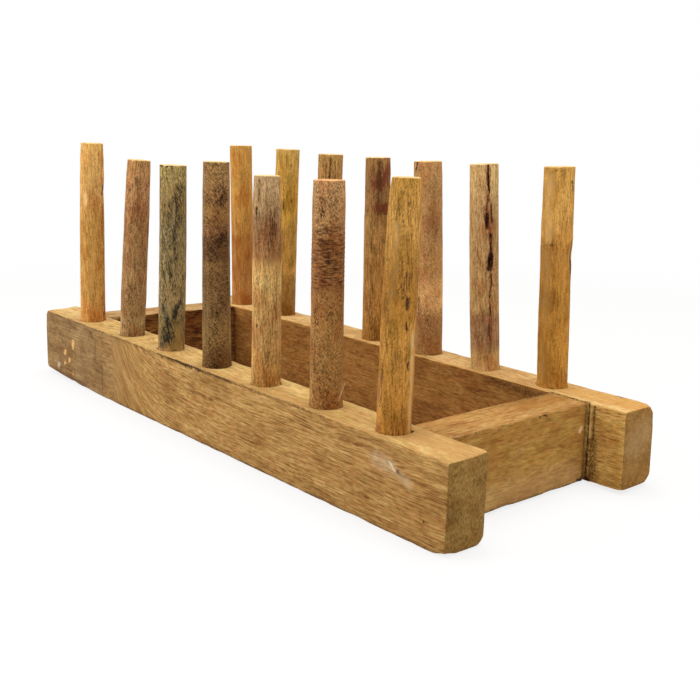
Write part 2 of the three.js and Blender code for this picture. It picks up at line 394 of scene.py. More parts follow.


# Mango wood board, sawn and sanded, rubbed with a little oil: fine wavy fibres, open pores
# as short red-brown streaks along the grain, growth bands, a matt surface with a faint
# shine. Sawn ends are darker and speckled, tops paler, and the inner faces that look into
# the frame get darker colours as painted shade.
def mangoBoard(name, look):
    material, tree = newMaterial(name)
    place = addNode(tree, "TexCoord")
    inMm = addNode(tree, "Mapping", None, {
        "Vector": place.outputs["Object"],
        "Scale": (1 / mm,) * 3,
        "Rotation": (0, 0, math.radians(look.get("turn", 0))),
    })
    x, y, z = addNode(tree, "SeparateXYZ", None, {0: inMm}).outputs
    if "curl" in look:
        # the grain falls steeply from the top edge and straightens out along the board
        fromX, reach, depth, kept = look["curl"]
        fall = x
        for operation, amount in (("SUBTRACT", fromX), ("MAXIMUM", -kept), ("DIVIDE", -reach),
                                  ("EXPONENT", 0.0), ("MULTIPLY", depth)):
            fall = addNode(tree, "Math", {"operation": operation}, {0: fall, 1: amount})
        z = addNode(tree, "Math", {"operation": "SUBTRACT"}, {0: z, 1: fall}).outputs[0]
    grain = addNode(tree, "CombineXYZ", None, {0: x, 1: y, 2: z})

    # slow and quick wander of the fibres
    for long, wide, far in look["wander"]:
        drift = addNode(tree, "Mapping", None, {"Vector": inMm, "Scale": (1 / long, 1 / wide, 1 / wide)})
        drift = addNode(tree, "TexNoise", None, {"Vector": drift, "Scale": 1.0, "Detail": 1.0})
        centred = addNode(tree, "VectorMath", {"operation": "SUBTRACT"}, {
            0: drift.outputs["Color"], 1: (0.5, 0.5, 0.5)})
        moved = addNode(tree, "VectorMath", {"operation": "SCALE"}, {0: centred, "Scale": far})
        grain = addNode(tree, "VectorMath", {"operation": "ADD"}, {0: grain, 1: moved})

    # streaks, fibres and bands: length and width in mm, share in the tone
    tone = 0.0
    for long, wide, share in look["layers"]:
        size = addNode(tree, "Mapping", None, {
            "Vector": grain, "Scale": (1 / long, 1 / wide, 1 / wide), "Location": (wide, long, 0)})
        fibres = addNode(tree, "TexNoise", None, {
            "Vector": size, "Scale": 1.0, "Detail": 1.6, "Roughness": 0.5})
        tone = addNode(tree, "Math", {"operation": "MULTIPLY_ADD"}, {0: fibres, 1: share, 2: tone})

    # cut fibres as fine grit, soft clouds without any grain, and the burl's faint lines
    noises = {}
    for kind, inputs in (
        ("grit", {"Detail": 2.0}),
        ("clouds", {"Detail": 3.0, "Roughness": 0.55, "Distortion": 0.6}),
        ("burlLines", {"Detail": 2.0}),
    ):
        size = addNode(tree, "Mapping", None, {
            "Vector": inMm, "Scale": [1 / side for side in mango[kind]]})
        noises[kind] = addNode(tree, "TexNoise", None, {"Vector": size, "Scale": 1.0, **inputs})
    grit, clouds, lines = noises.values()

    # the tones of each kind of place on the board
    levels = {ground: tone for ground in ("face", "top", "well")}
    endTone = addNode(tree, "Mix", valueMix, {0: mango["endClouds"], 2: grit, 3: clouds})
    darkest, palest = mango["endLevels"]
    levels["end"] = addNode(tree, "MapRange", None, {0: endTone, 3: darkest, 4: palest})
    if "burl" in look:
        blend = addNode(tree, "Mix", valueMix, {0: mango["burlGrit"], 2: clouds, 3: grit})
        levels["burl"] = addNode(tree, "Mix", valueMix, {0: mango["burlLined"], 2: blend, 3: lines})
    shades = {}
    for ground, level in levels.items():
        shades[ground] = addNode(tree, "ValToRGB", {
            "stops": list(zip(look["toneSteps"], look[ground]))}, {0: level}).outputs[0]
    wood = shades["face"]

    poreMost = look["poreShare"]
    if "burl" in look:
        # smooth grey-brown wood where a branch grew
        border = x
        for pushing, far in ((clouds, mango["cloudShift"]), (tone, mango["toneShift"])):
            border = addNode(tree, "Math", {"operation": "MULTIPLY_ADD"}, {0: pushing, 1: far, 2: border})
        noneAt, allAt = (look["burlTo"] + past for past in mango["burlFade"])
        burlShare = addNode(tree, "MapRange", easedRange, {0: border, 1: noneAt, 2: allAt})
        wood = addNode(tree, "Mix", colourMix, {0: burlShare, 6: wood, 7: shades["burl"]}).outputs[2]
        poreMost = addNode(tree, "MapRange", None, {
            0: burlShare, 3: poreMost, 4: mango["burlPores"] * poreMost})

    # open pores
    poreLong, poreWide = look["poreSize"]
    poreSize = addNode(tree, "Mapping", None, {
        "Vector": grain, "Scale": (1 / poreLong, 1 / poreWide, 1 / poreWide)})
    pores = addNode(tree, "TexNoise", None, {"Vector": poreSize, "Scale": 1.0, "Detail": 1.0})
    rim, core = mango["poreLevels"]
    poreShare = addNode(tree, "MapRange", easedRange, {0: pores, 1: rim, 2: core, 4: poreMost})

    # tops, inner faces and sawn ends, as kept on the mesh, cover the pores; the inner faces' darker
    # colours are painted shade
    ground = addNode(tree, "Attribute", {"attribute_name": "ground"})
    onTop, inShadedWell, onEnd = addNode(tree, "SeparateColor", None, {0: ground.outputs["Color"]}).outputs
    for share, shade in ((poreShare, linear(look["pore"])), (onTop, shades["top"]),
                         (inShadedWell, shades["well"]), (onEnd, shades["end"])):
        wood = addNode(tree, "Mix", colourMix, {0: share, 6: wood, 7: shade}).outputs[2]

    # patches where the board is greyer, greener or redder
    rim, core = mango["patchLevels"]
    for colour, size, most, seed in look["patches"] + mango["hues"]:
        patches = addNode(tree, "Mapping", None, {
            "Vector": grain, "Scale": (1 / size / mango["patchLong"], 1 / size, 1 / size),
            "Location": (seed,) * 3})
        patches = addNode(tree, "TexNoise", None, {"Vector": patches, "Scale": 1.0, "Detail": 3.0})
        share = addNode(tree, "MapRange", easedRange, {0: patches, 1: rim, 2: core, 4: most})
        wood = addNode(tree, "Mix", {"data_type": "RGBA", "blend_type": "MULTIPLY"}, {
            0: share, 6: wood, 7: linear(colour)}).outputs[2]

    # rust, stain (with painted shade along the front rail's lower edge and in the sockets' nicks) and
    # pale chips with ragged borders, then a wiped haze, all kept on the mesh
    marks = addNode(tree, "Attribute", {"attribute_name": "marks"})
    channels = addNode(tree, "SeparateColor", None, {0: marks.outputs["Color"]}).outputs
    ragged = addNode(tree, "MapRange", None, {0: grit, 1: 0.35, 2: 0.65, 3: -0.4, 4: 0.4})
    wood = layMarks(tree, wood, ragged, mango["markRise"], [
        (channels[channel], look[kind], raggedness) for kind, channel, raggedness in mango["markKinds"]])
    wood = addNode(tree, "Mix", colourMix, {
        0: marks.outputs["Alpha"], 6: wood, 7: linear(look["haze"])}).outputs[2]

    relief = addNode(tree, "Math", {"operation": "SUBTRACT"}, {0: tone, 1: poreShare})
    bump = addNode(tree, "Bump", None, {
        "Strength": look["relief"], "Distance": mango["reliefDepth"] * mm, "Height": relief})
    mattest, glossiest = mango["roughness"]
    rough = addNode(tree, "MapRange", None, {0: fibres, 1: 0.3, 2: 0.7, 3: mattest, 4: glossiest})
    shader = addNode(tree, "BsdfPrincipled", None, {
        "Base Color": wood, "Roughness": rough, "IOR": 1.45, "Specular IOR Level": mango["shine"],
        "Normal": bump})
    addNode(tree, "OutputMaterial", None, {0: shader})
    return material


def boardBlock(low, high):
    # a block with eased edges and a fine even net
    bm = bmesh.new()
    bmesh.ops.create_cube(bm, size=1)
    bmesh.ops.scale(bm, vec=high - low, verts=bm.verts)
    bmesh.ops.translate(bm, vec=(high + low) / 2, verts=bm.verts)
    bmesh.ops.bevel(bm, geom=bm.edges[:], offset=boards["ease"], segments=boards["easeSteps"],
                    profile=0.5, affect="EDGES", material=-1)
    for axis in range(3):
        lengthwise = []
        for edge in bm.edges:
            way = edge.verts[1].co - edge.verts[0].co
            if way.length > 3 * boards["ease"] and abs(way[axis]) > 0.999 * way.length:
                lengthwise.append(edge)
        cuts = int((high[axis] - low[axis]) / boards["meshStep"])
        bmesh.ops.subdivide_edges(bm, edges=lengthwise, cuts=cuts, use_grid_fill=True)
    return bm


def edgeGaps(place, low, high, top):
    # distances to the nearest face along each axis, the least first
    return sorted((
        min(place.x - low.x, high.x - place.x),
        min(place.y - low.y, high.y - place.y),
        min(place.z - low.z, top(place.x) - place.z),
    ))


def wearBoard(bm, low, high, corners, seed):
    # faces waver by hand sanding, edges are knocked and rubbed, some corners are worn off
    bm.normal_update()
    reachIn = boards["edgeReach"]
    even, knocked, roughened = boards["wearShares"]
    moves = []
    for v in bm.verts:
        gaps = edgeGaps(v.co, low, high, lambda x: high.z)
        nearEdge = smooth(reachIn, 0, gaps[1]) * smooth(reachIn, 0, gaps[0])
        slow, knock, fine = (
            wander(*(side / size for side, size in zip(v.co, boards[sizes])), seed + more)
            for sizes, more in (("waveSize", 0), ("knockSize", 7), ("roughSize", 3)))
        knock = max(0, knock - 0.1)
        inward = boards["wave"] * (0.5 + 0.5 * slow) + boards["roughDepth"] * (1 + fine)
        inward += nearEdge * boards["edgeWear"] * (even + knocked * knock + roughened * fine)
        if v.normal.z < -0.5 and gaps[1] > reachIn:
            inward = 0  # the underside stands flat
        move = v.normal * -inward
        for corner, reach, depth in corners:
            near = smooth(reach, 0, (v.co - Vector(corner)).length)
            inwards = (low + high) / 2 - Vector(corner)
            inwards = Vector([math.copysign(1, side) for side in inwards]).normalized()
            move += inwards * depth * near
        moves.append(move)
    for v, move in zip(bm.verts, moves):
        v.co += move


def markPlace(face, along, across, low, high, top):
    # a mark's place on the board from its two coordinates on a face
    if face == "front":
        return Vector((along, low.y, across))
    if face == "top":
        return Vector((along, across, top(along)))
    return Vector((high.x, along, across))


faceWays = {
    "front": Vector((0, -1, 0)),
    "top": Vector((0, 0, 1)),
    "end": Vector((1, 0, 0)),
}


def markBoard(bm, low, high, top, spec, seed):
    # keeps on the mesh which way a place faces, and how strongly each kind of mark covers it
    ground = bm.verts.layers.float_color.new("ground")
    marks = bm.verts.layers.float_color.new("marks")
    kinds = {"stain": 0, "chip": 1, "rust": 2, "haze": 3}
    lines = []
    for face, kind, a, b, c, d, reach, strength in spec["marks"]:
        start = markPlace(face, a, b, low, high, top)
        end = markPlace(face, c, d, low, high, top)
        lines.append((start, end, reach, strength, kinds[kind], faceWays[face]))
    for number, angle, size in spec.get("nicks", []):
        rim = rimPlace(spec["row"], number, angle)
        lines.append((rim, rim, size * 0.75, 1.0, kinds["stain"], faceWays["top"]))  # painted shade in the nick
    bm.normal_update()
    wellWay, endWay = Vector(spec["wellWay"]), Vector(spec["endWay"])
    for v in bm.verts:
        squareness = (v.normal.z, v.normal.dot(wellWay), abs(v.normal.dot(endWay)))
        onTop, inShadedWell, onEnd = (smooth(*boards["facing"], facing) for facing in squareness)
        # the painted shade goes only where a face looks into the frame
        inShadedWell *= boards["wellFrom"] < v.co.x < boards["wellTo"] and abs(v.co.y) < boards["wellHalf"]
        v[ground] = (onTop, inShadedWell, onEnd, 1)
        cover = [0, 0, 0, 0]
        gaps = edgeGaps(v.co, low, high, top)
        dirt = smooth(boards["dirtReach"], 0.4, gaps[1])
        dirt *= 0.5 + wander(*(v.co / boards["dirtSize"]), seed)
        cover[0] = boards["edgeDirt"] * max(dirt, 0)
        for n, (start, end, reach, strength, kind, way) in enumerate(lines):
            far = distanceToLine(v.co, start, end)
            if far > boards["markLimit"] * reach:
                continue
            if reach > boards["wideMark"]:
                strength *= smooth(0.1, 0.7, v.normal.dot(way))
            fray = boards["fray"] * wander(*(v.co / boards["fraySize"]), seed + n)
            cover[kind] = max(cover[kind], smooth(*boards["markEase"], far / reach + fray) * strength)
        v[marks] = cover


def rimPlace(row, number, angle):
    # a place on a socket's rim
    node = f"{row}_peg_{number}"
    turned = math.radians(angle)
    return onRailTop(node)[0] + Vector((math.cos(turned), math.sin(turned), 0)) * axes[node][2]


def socketCutters(row):
    bm = bmesh.new()
    depth = boards["socketDepth"]
    for number in range(1, 8):
        foot, tip, radius = axes[f"{row}_peg_{number}"]
        way = (tip - foot).normalized()
        wide = radius + boards["socketSlack"]
        turn = way.to_track_quat("Z", "Y").to_matrix().to_4x4()
        middle = Matrix.Translation(foot + way * (depth / 2 - boards["socketOverlap"]))
        bmesh.ops.create_cone(bm, cap_ends=True, segments=72, depth=depth, radius1=wide,
                              radius2=wide, matrix=middle @ turn)
    return bm


def nickCutters(row, nicks):
    # splintered notches in the sockets' rims: peg number, angle round it, size
    bm = bmesh.new()
    for number, angle, size in nicks:
        turn = Matrix.Rotation(math.radians(angle), 4, "Z")
        bmesh.ops.create_cone(bm, cap_ends=True, segments=9, depth=2 * boards["nickDepth"],
                              radius1=size * 0.4, radius2=size * 1.2,
                              matrix=Matrix.Translation(rimPlace(row, number, angle)) @ turn)
    return bm


def cutOut(bm, cutter):
    # takes the cutter's shape away from bm
    meshes = []
    for part in (bm, cutter):
        bmesh.ops.recalc_face_normals(part, faces=part.faces)
        mesh = bpy.data.meshes.new("work")
        part.to_mesh(mesh)
        part.free()
        meshes.append(mesh)
    board, tool = (bpy.data.objects.new("work", mesh) for mesh in meshes)
    for work in (board, tool):
        scene.collection.objects.link(work)
    cut = board.modifiers.new("cut", "BOOLEAN")
    cut.operation = "DIFFERENCE"
    cut.solver = "MANIFOLD"
    cut.object = tool
    result = bmesh.new()
    result.from_object(board, bpy.context.evaluated_depsgraph_get())
    for work in (board, tool):
        bpy.data.objects.remove(work)
    for mesh in meshes:
        bpy.data.meshes.remove(mesh)
    return result


def shapeLongRail(bm, low, high, spec):
    # the block becomes a rail with a sloping top, slanted ends and, in front, a raised foot
    nominal = high.z
    for v in bm.verts:
        share = v.co.z / nominal
        fromLeft = v.co.x - low.x
        fromRight = high.x - v.co.x
        lift = spec["rockerLift"] * max(0, 1 - fromLeft / spec["rockerRun"]) ** 2
        lift += spec["heelLift"] * max(0, 1 - fromRight / spec["heelRun"]) ** 2
        v.co.x += smooth(boards["endReach"], 0, fromLeft) * spec["endSlant"] * share
        v.co.x -= smooth(boards["endReach"], 0, fromRight) * spec["undercut"] * (1 - share)
        inner = smooth(boards["crownReach"], 0, abs(v.co.y - spec["innerY"]))
        crown = spec["crown"] * inner * smooth(0.85, 1, share)
        v.co.z = lift + (frontTop(v.co.x) + crown - lift) * share


def makeLongRail(row, spec, seed):
    node = f"{row}_rail"
    low, high = boxInMm(node)
    bm = boardBlock(low, high)
    wearBoard(bm, low, high, spec["corners"], seed)
    shapeLongRail(bm, low, high, spec)
    bm = cutOut(bm, socketCutters(row))
    bm = cutOut(bm, nickCutters(row, spec["nicks"]))
    markBoard(bm, low, high, frontTop, spec, seed)
    material = mangoBoard(f"mangoBoard{row.title()}", spec["look"])
    finishPiece(f"{node}_board", bm, material, node)


# front rail; a mark is its face, kind, start and end on that face, reach and strength
frontRail = {
    "row": "front",
    "endSlant": 2.5,
    "undercut": 1.2,
    "rockerLift": 3.9,
    "rockerRun": 112,
    "heelLift": 0.5,
    "heelRun": 14,
    "innerY": -50.95,
    "crown": 0.6,  # the inner edge was left a little proud
    "wellWay": (0, 1, 0),
    "endWay": (1, 0, 0),
    "corners": [
        ((217.5, -50.95, 0), 5.0, 1.4),
        ((217.5, -76.35, 0), 9.0, 1.9),
        ((217.5, -50.95, 48), 3.0, 0.4),
        ((217.5, -76.35, 48), 2.5, 0.4),
        ((-217.5, -76.35, 48), 4.0, 1.2),
        ((-217.5, -76.35, 0), 4.0, 0.5),
    ],
    "nicks": [(2, -118, 1.3), (2, 34, 1.5), (3, -128, 1.5), (5, 36, 1.5), (7, 30, 1.6)],
    "look": {
        "curl": (-90, 26, 38, 14), "burlTo": -104,
        "wander": [(60, 15, 4.5), (15, 5, 0.9)],
        "layers": [(100, 6.0, 0.12), (44, 0.9, 0.30), (17, 0.8, 0.30), (6, 0.5, 0.28)],
        "toneSteps": (0.36, 0.455, 0.535, 0.64),
        "face": ("79522f", "a37b44", "b99358", "cca76b"),
        "burl": ("6e5236", "876a45", "94764d", "a88d60"),
        "top": ("9d763e", "b79456", "c8a86c", "d9be84"),
        # painted shade: darker colours for the inner faces that look into the frame
        "well": ("4f2e16", "6f4524", "865a30", "9a6c3c"),
        "end": ("624a24", "7d5f30", "8f6f3b", "9d7d46"),
        "patches": [("c8bca8", 14, 0.40, 3.0), ("d0a888", 9, 0.30, 11.0)],
        "pore": "67361b", "poreShare": 0.56, "poreSize": (11, 0.42),
        "stain": "3a2412", "chip": "d4a464", "rust": "a67c48", "haze": "dcccb0",
        "relief": 0.35,
    },
    "marks": [
        ("front", "chip", -189.6, 27.6, -188.8, 29.4, 1.4, 0.6),
        ("front", "chip", -168.6, 27.4, -167, 31.6, 2.2, 1),
        ("front", "chip", -183, 20.2, -181.4, 22.4, 1.9, 1),
        ("front", "chip", -176, 15.6, -174.6, 18, 1.9, 1),
        ("front", "chip", -184.2, 12.4, -182.6, 13.4, 1.8, 0.8),
        ("front", "chip", -168.6, 18, -167.2, 21, 1.4, 0.45),
        ("front", "chip", -170.5, 6, -169.4, 8.4, 1.3, 0.7),
        ("front", "haze", -196, 8.6, -194.2, 10.4, 1.7, 0.5),
        # painted shade: a dark line along the lower edge where the rail rises off the floor
        ("front", "stain", -206, 5, -150, 2.4, 2.4, 0.55),
        ("front", "stain", -121, 24, -121.5, -2, 2, 0.5),
        ("front", "stain", -129, 39, -131.5, 25, 2.2, 0.45),
        ("front", "stain", -137.5, 43, -134.5, 41, 2.4, 0.6),
        ("front", "stain", -88, 45, -75, 25, 1.2, 0.5),
        ("front", "stain", -75, 25, -66, 12, 1.2, 0.45),
        ("front", "stain", -57, 47, -30, 36, 1.2, 0.54),
        ("front", "stain", -30, 36, 5.5, 29, 1.2, 0.5),
        ("front", "stain", -215, 48, -60, 47, 1.3, 0.65),
        ("front", "stain", -38, 47, 12, 46, 2.8, 0.85),
        ("front", "stain", 12, 46, 44, 45.4, 2.2, 0.75),
        ("front", "stain", 44, 45.4, 130, 45, 1.6, 0.55),
        ("front", "stain", -110, 47.2, -38, 46.6, 2.4, 0.55),
        # painted shade: a dark line along the lower edge
        ("front", "stain", -100, 0.6, 216, 0, 1.9, 0.6),
        ("front", "haze", 170, 34.2, 180, 32.4, 4.6, 0.2),
        ("front", "haze", 174, 34, 181, 32.6, 2.6, 0.26),
        ("front", "haze", 179.2, 34.6, 182.9, 31.3, 0.75, 0.9),
        ("front", "haze", 186.5, 30, 192.5, 28, 2.8, 0.2),
        ("front", "stain", 185.1, 31.6, 185.6, 31.2, 1.5, 1),
        ("front", "rust", 176.4, 10.2, 179.2, 9.6, 2.6, 0.7),
        ("front", "stain", 202.5, 13.1, 202.5, 13.1, 1, 0.9),
        ("top", "stain", -133, -63.5, -129, -62.4, 1.5, 0.7),
        ("top", "stain", -124, -66.8, -120, -65.6, 1.3, 0.6),
        ("top", "rust", -217, -76, 0, -76, 7.5, 0.48),
        ("top", "rust", 0, -76, 110, -76, 7, 0.6),
        ("top", "rust", 110, -76, 170, -76, 6, 0.6),
        ("top", "rust", 170, -76, 217, -76, 4, 0.5),
        ("top", "rust", 172, -60, 216, -62, 16, 0.64),
        ("top", "stain", 174.3, -58.5, 174.6, -58.2, 1.5, 1),
        ("top", "rust", 128, -60, 150, -62, 12, 0.4),
        ("top", "haze", -217, -60, -160, -60, 16, 0.06),
        ("top", "stain", -215, -76.2, 60, -76.2, 1.6, 0.35),
        ("end", "stain", -73, 16, -72, 21, 2, 0.45),
        ("end", "stain", -76, 2, -53, 2, 1.4, 0.4),
    ],
}

makeLongRail("front", frontRail, seed=1)
print("front rail made")


# back rail
backRail = {
    "row": "back",
    "endSlant": 2.5,
    "undercut": -0.5,
    "rockerLift": 0,
    "rockerRun": 1,
    "heelLift": 2.0,
    "heelRun": 115,
    "innerY": 50.95,
    "crown": 0,
    "wellWay": (0, -1, 0),
    "endWay": (1, 0, 0),
    "corners": [
        ((216.7, 76.35, 48), 5.5, 1.7),
        ((216.7, 76.35, 0), 5.5, 1.6),
        ((216.7, 50.95, 0), 4.0, 0.6),
        ((216.7, 50.95, 48), 3.0, 0.4),
    ],
    "nicks": [(4, -150, 1.3), (5, 20, 1.3), (7, -150, 1.3)],
    "look": {
        "wander": [(70, 15, 4.5), (17, 5, 0.9)],
        "layers": [(80, 6.0, 0.14), (12, 1.2, 0.42), (4, 0.7, 0.44)],
        "toneSteps": (0.34, 0.45, 0.54, 0.66),
        "face": ("9a723c", "c0954f", "d3a95e", "e4bd73"),
        "top": ("aa844d", "c19a5f", "cdab72", "d9be88"),
        # painted shade: darker colours for the inner faces that look into the frame
        "well": ("724b28", "92622d", "a4733b", "b68547"),
        "end": ("694a24", "896432", "94713d", "a0814c"),
        "patches": [("c8bca8", 15, 0.35, 5.0), ("d0a080", 10, 0.3, 17.0)],
        "pore": "58341a", "poreShare": 0.45, "poreSize": (6, 0.7),
        "stain": "3a2010", "chip": "dcb878", "rust": "b07c34", "haze": "cdb088",
        "relief": 0.3,
    },
    "marks": [
        ("front", "stain", 193.8, 44, 193.8, 2, 0.9, 0.9),
        ("front", "chip", 195.4, 42, 195.2, 26, 0.9, 0.95),
        ("front", "stain", 197.3, 43, 197.3, 25, 1.3, 0.75),
        ("front", "stain", 197, 24, 198.5, 5, 4.6, 0.6),
        ("front", "stain", 194.6, 2.6, 195.6, 2.2, 2.4, 1),
        ("front", "rust", 203, 30, 205, 3, 3.5, 0.25),
        ("front", "rust", 212, 36, 214, 4, 1.8, 0.5),
        ("front", "stain", 120, 42, 166, 41, 4, 0.5),
        ("front", "stain", 104, 36, 122, 33, 3.4, 0.35),
        ("top", "stain", 194.5, 74.2, 197, 74.8, 1.1, 0.8),
        ("top", "stain", 168, 51.6, 194, 51.6, 1, 0.7),
        ("top", "rust", 188, 75.5, 216, 75.5, 2.2, 0.5),
        ("top", "rust", -198, 51.5, 216, 51.5, 3.6, 0.45),
        ("top", "rust", 172, 64, 216, 66, 14, 0.6),
        ("end", "haze", 60, 26, 68, 30, 9, 0.16),
        ("end", "rust", 58, 5, 74, 8, 5, 0.35),
    ],
}

makeLongRail("back", backRail, seed=2)
print("back rail made")


# cross rails
crossRails = {
    "right": {
        "skew": 0.0,
        "backGap": 0.5,  # it stops a little short of the back rail
        "wellWay": (-1, 0, 0),
        "endWay": (0, 1, 0),
        "corners": [((193.5, 14.5, 44.8), 4.5, 1.2), ((193.5, 50.6, 44.8), 3.0, 0.6)],
        "look": {
            "turn": -90,
            "wander": [(50, 15, 3.0), (15, 6, 0.8)],
            "layers": [(70, 6.0, 0.16), (15, 1.3, 0.42), (5, 0.7, 0.42)],
            "toneSteps": (0.31, 0.44, 0.55, 0.69),
            "face": ("88632f", "9f773b", "ac8644", "b69252"),
            "top": ("784b28", "9a713a", "ab854e", "bb9964"),
            # painted shade: darker colours for the inner face that looks into the frame
            "well": ("4a2a12", "63401f", "7a5028", "8c6034"),
            "end": ("6b5128", "8a6a38", "9f7c46", "b08c58"),
            "patches": [("c8b8a0", 16, 0.4, 7.0), ("d0a078", 9, 0.4, 2.0)],
            "pore": "6b4420", "poreShare": 0.35, "poreSize": (6, 0.6),
            "stain": "2c1a0c", "chip": "d6b888", "rust": "8a5a22", "haze": "cdb088", "relief": 0.22,
        },
        "marks": [
            ("end", "stain", 12.4, 44.2, 16.8, 44, 1.6, 1),
            ("end", "stain", -50, 44.4, 50, 44.6, 1.1, 0.5),
            ("end", "stain", 48.9, 2, 48.9, 43, 1.1, 0.6),
            ("end", "stain", 46, 2.6, 50.4, 2.6, 2, 0.95),
            ("end", "chip", 50.4, 6, 50.4, 43.6, 1, 0.75),
            ("end", "chip", 45, 30.2, 46.2, 31.4, 1.7, 0.8),
            ("end", "stain", -50, 1.6, 46, 1.8, 1.7, 0.6),
            ("end", "chip", -10, 12, 2, 34, 6, 0.18),
            ("end", "haze", -40, 8, 40, 8, 9, 0.14),
            ("top", "stain", 168, 30, 168, 49, 1.5, 0.75),
            ("top", "stain", 180, 50, 193, 50, 1.2, 0.55),
            ("top", "rust", 179, 16, 178, 44, 9, 0.6),
            ("top", "chip", 191, -49.6, 193.5, -42, 1.8, 0.4),
        ],
    },
    "left": {
        "skew": 11.0,
        "backGap": 0.0,
        "wellWay": (1, 0, 0),
        "endWay": (0, 1, 0),
        "corners": [],
        "look": {
            "turn": -90,
            "wander": [(50, 15, 4.0), (15, 6, 1.0)],
            "layers": [(70, 6.0, 0.16), (15, 1.4, 0.42), (5, 0.8, 0.42)],
            "toneSteps": (0.38, 0.46, 0.53, 0.62),
            "face": ("7a4e28", "a06e3a", "b08048", "c0925a"),
            "top": ("815e39", "a07e4d", "ad8e5f", "bba073"),
            # painted shade: darker colours for the inner face that looks into the frame
            "well": ("3a200b", "5e3717", "734920", "895d2b"),
            "end": ("6b5128", "8a6a38", "9f7c46", "b08c58"),
            "patches": [("c0b0a0", 16, 0.4, 7.0), ("c89070", 9, 0.5, 2.0)],
            "pore": "3c2210", "poreShare": 0.4, "poreSize": (6, 0.7),
            "stain": "2c1a0c", "chip": "cdb07c", "rust": "a86c30", "haze": "cdb088", "relief": 0.25,
        },
        "marks": [
            ("top", "stain", -160, -49, -156, -30, 1.4, 0.7),
            ("top", "stain", -183, -50.2, -160, -50.2, 1.3, 0.7),
        ],
    },
}


def makeCrossRail(side, spec, seed):
    node = f"{side}_cross_rail"
    low, high = boxInMm(node)
    skew = spec["skew"]
    high = Vector((high.x - skew, high.y - spec["backGap"], high.z))
    bm = boardBlock(low, high)
    wearBoard(bm, low, high, spec["corners"], seed)
    for v in bm.verts:
        v.co.x += skew * (v.co.y - low.y) / (high.y - low.y)
        share = (v.co.z - low.z) / (high.z - low.z)
        v.co.z = low.z + (frontTop(v.co.x) - low.z) * share
    markBoard(bm, low, high, frontTop, spec, seed)
    material = mangoBoard(f"mangoBoardCross{side.title()}", spec["look"])
    finishPiece(f"{node}_board", bm, material, node)


for seed, (side, spec) in enumerate(crossRails.items(), start=5):
    makeCrossRail(side, spec, seed)
print("cross rails made")


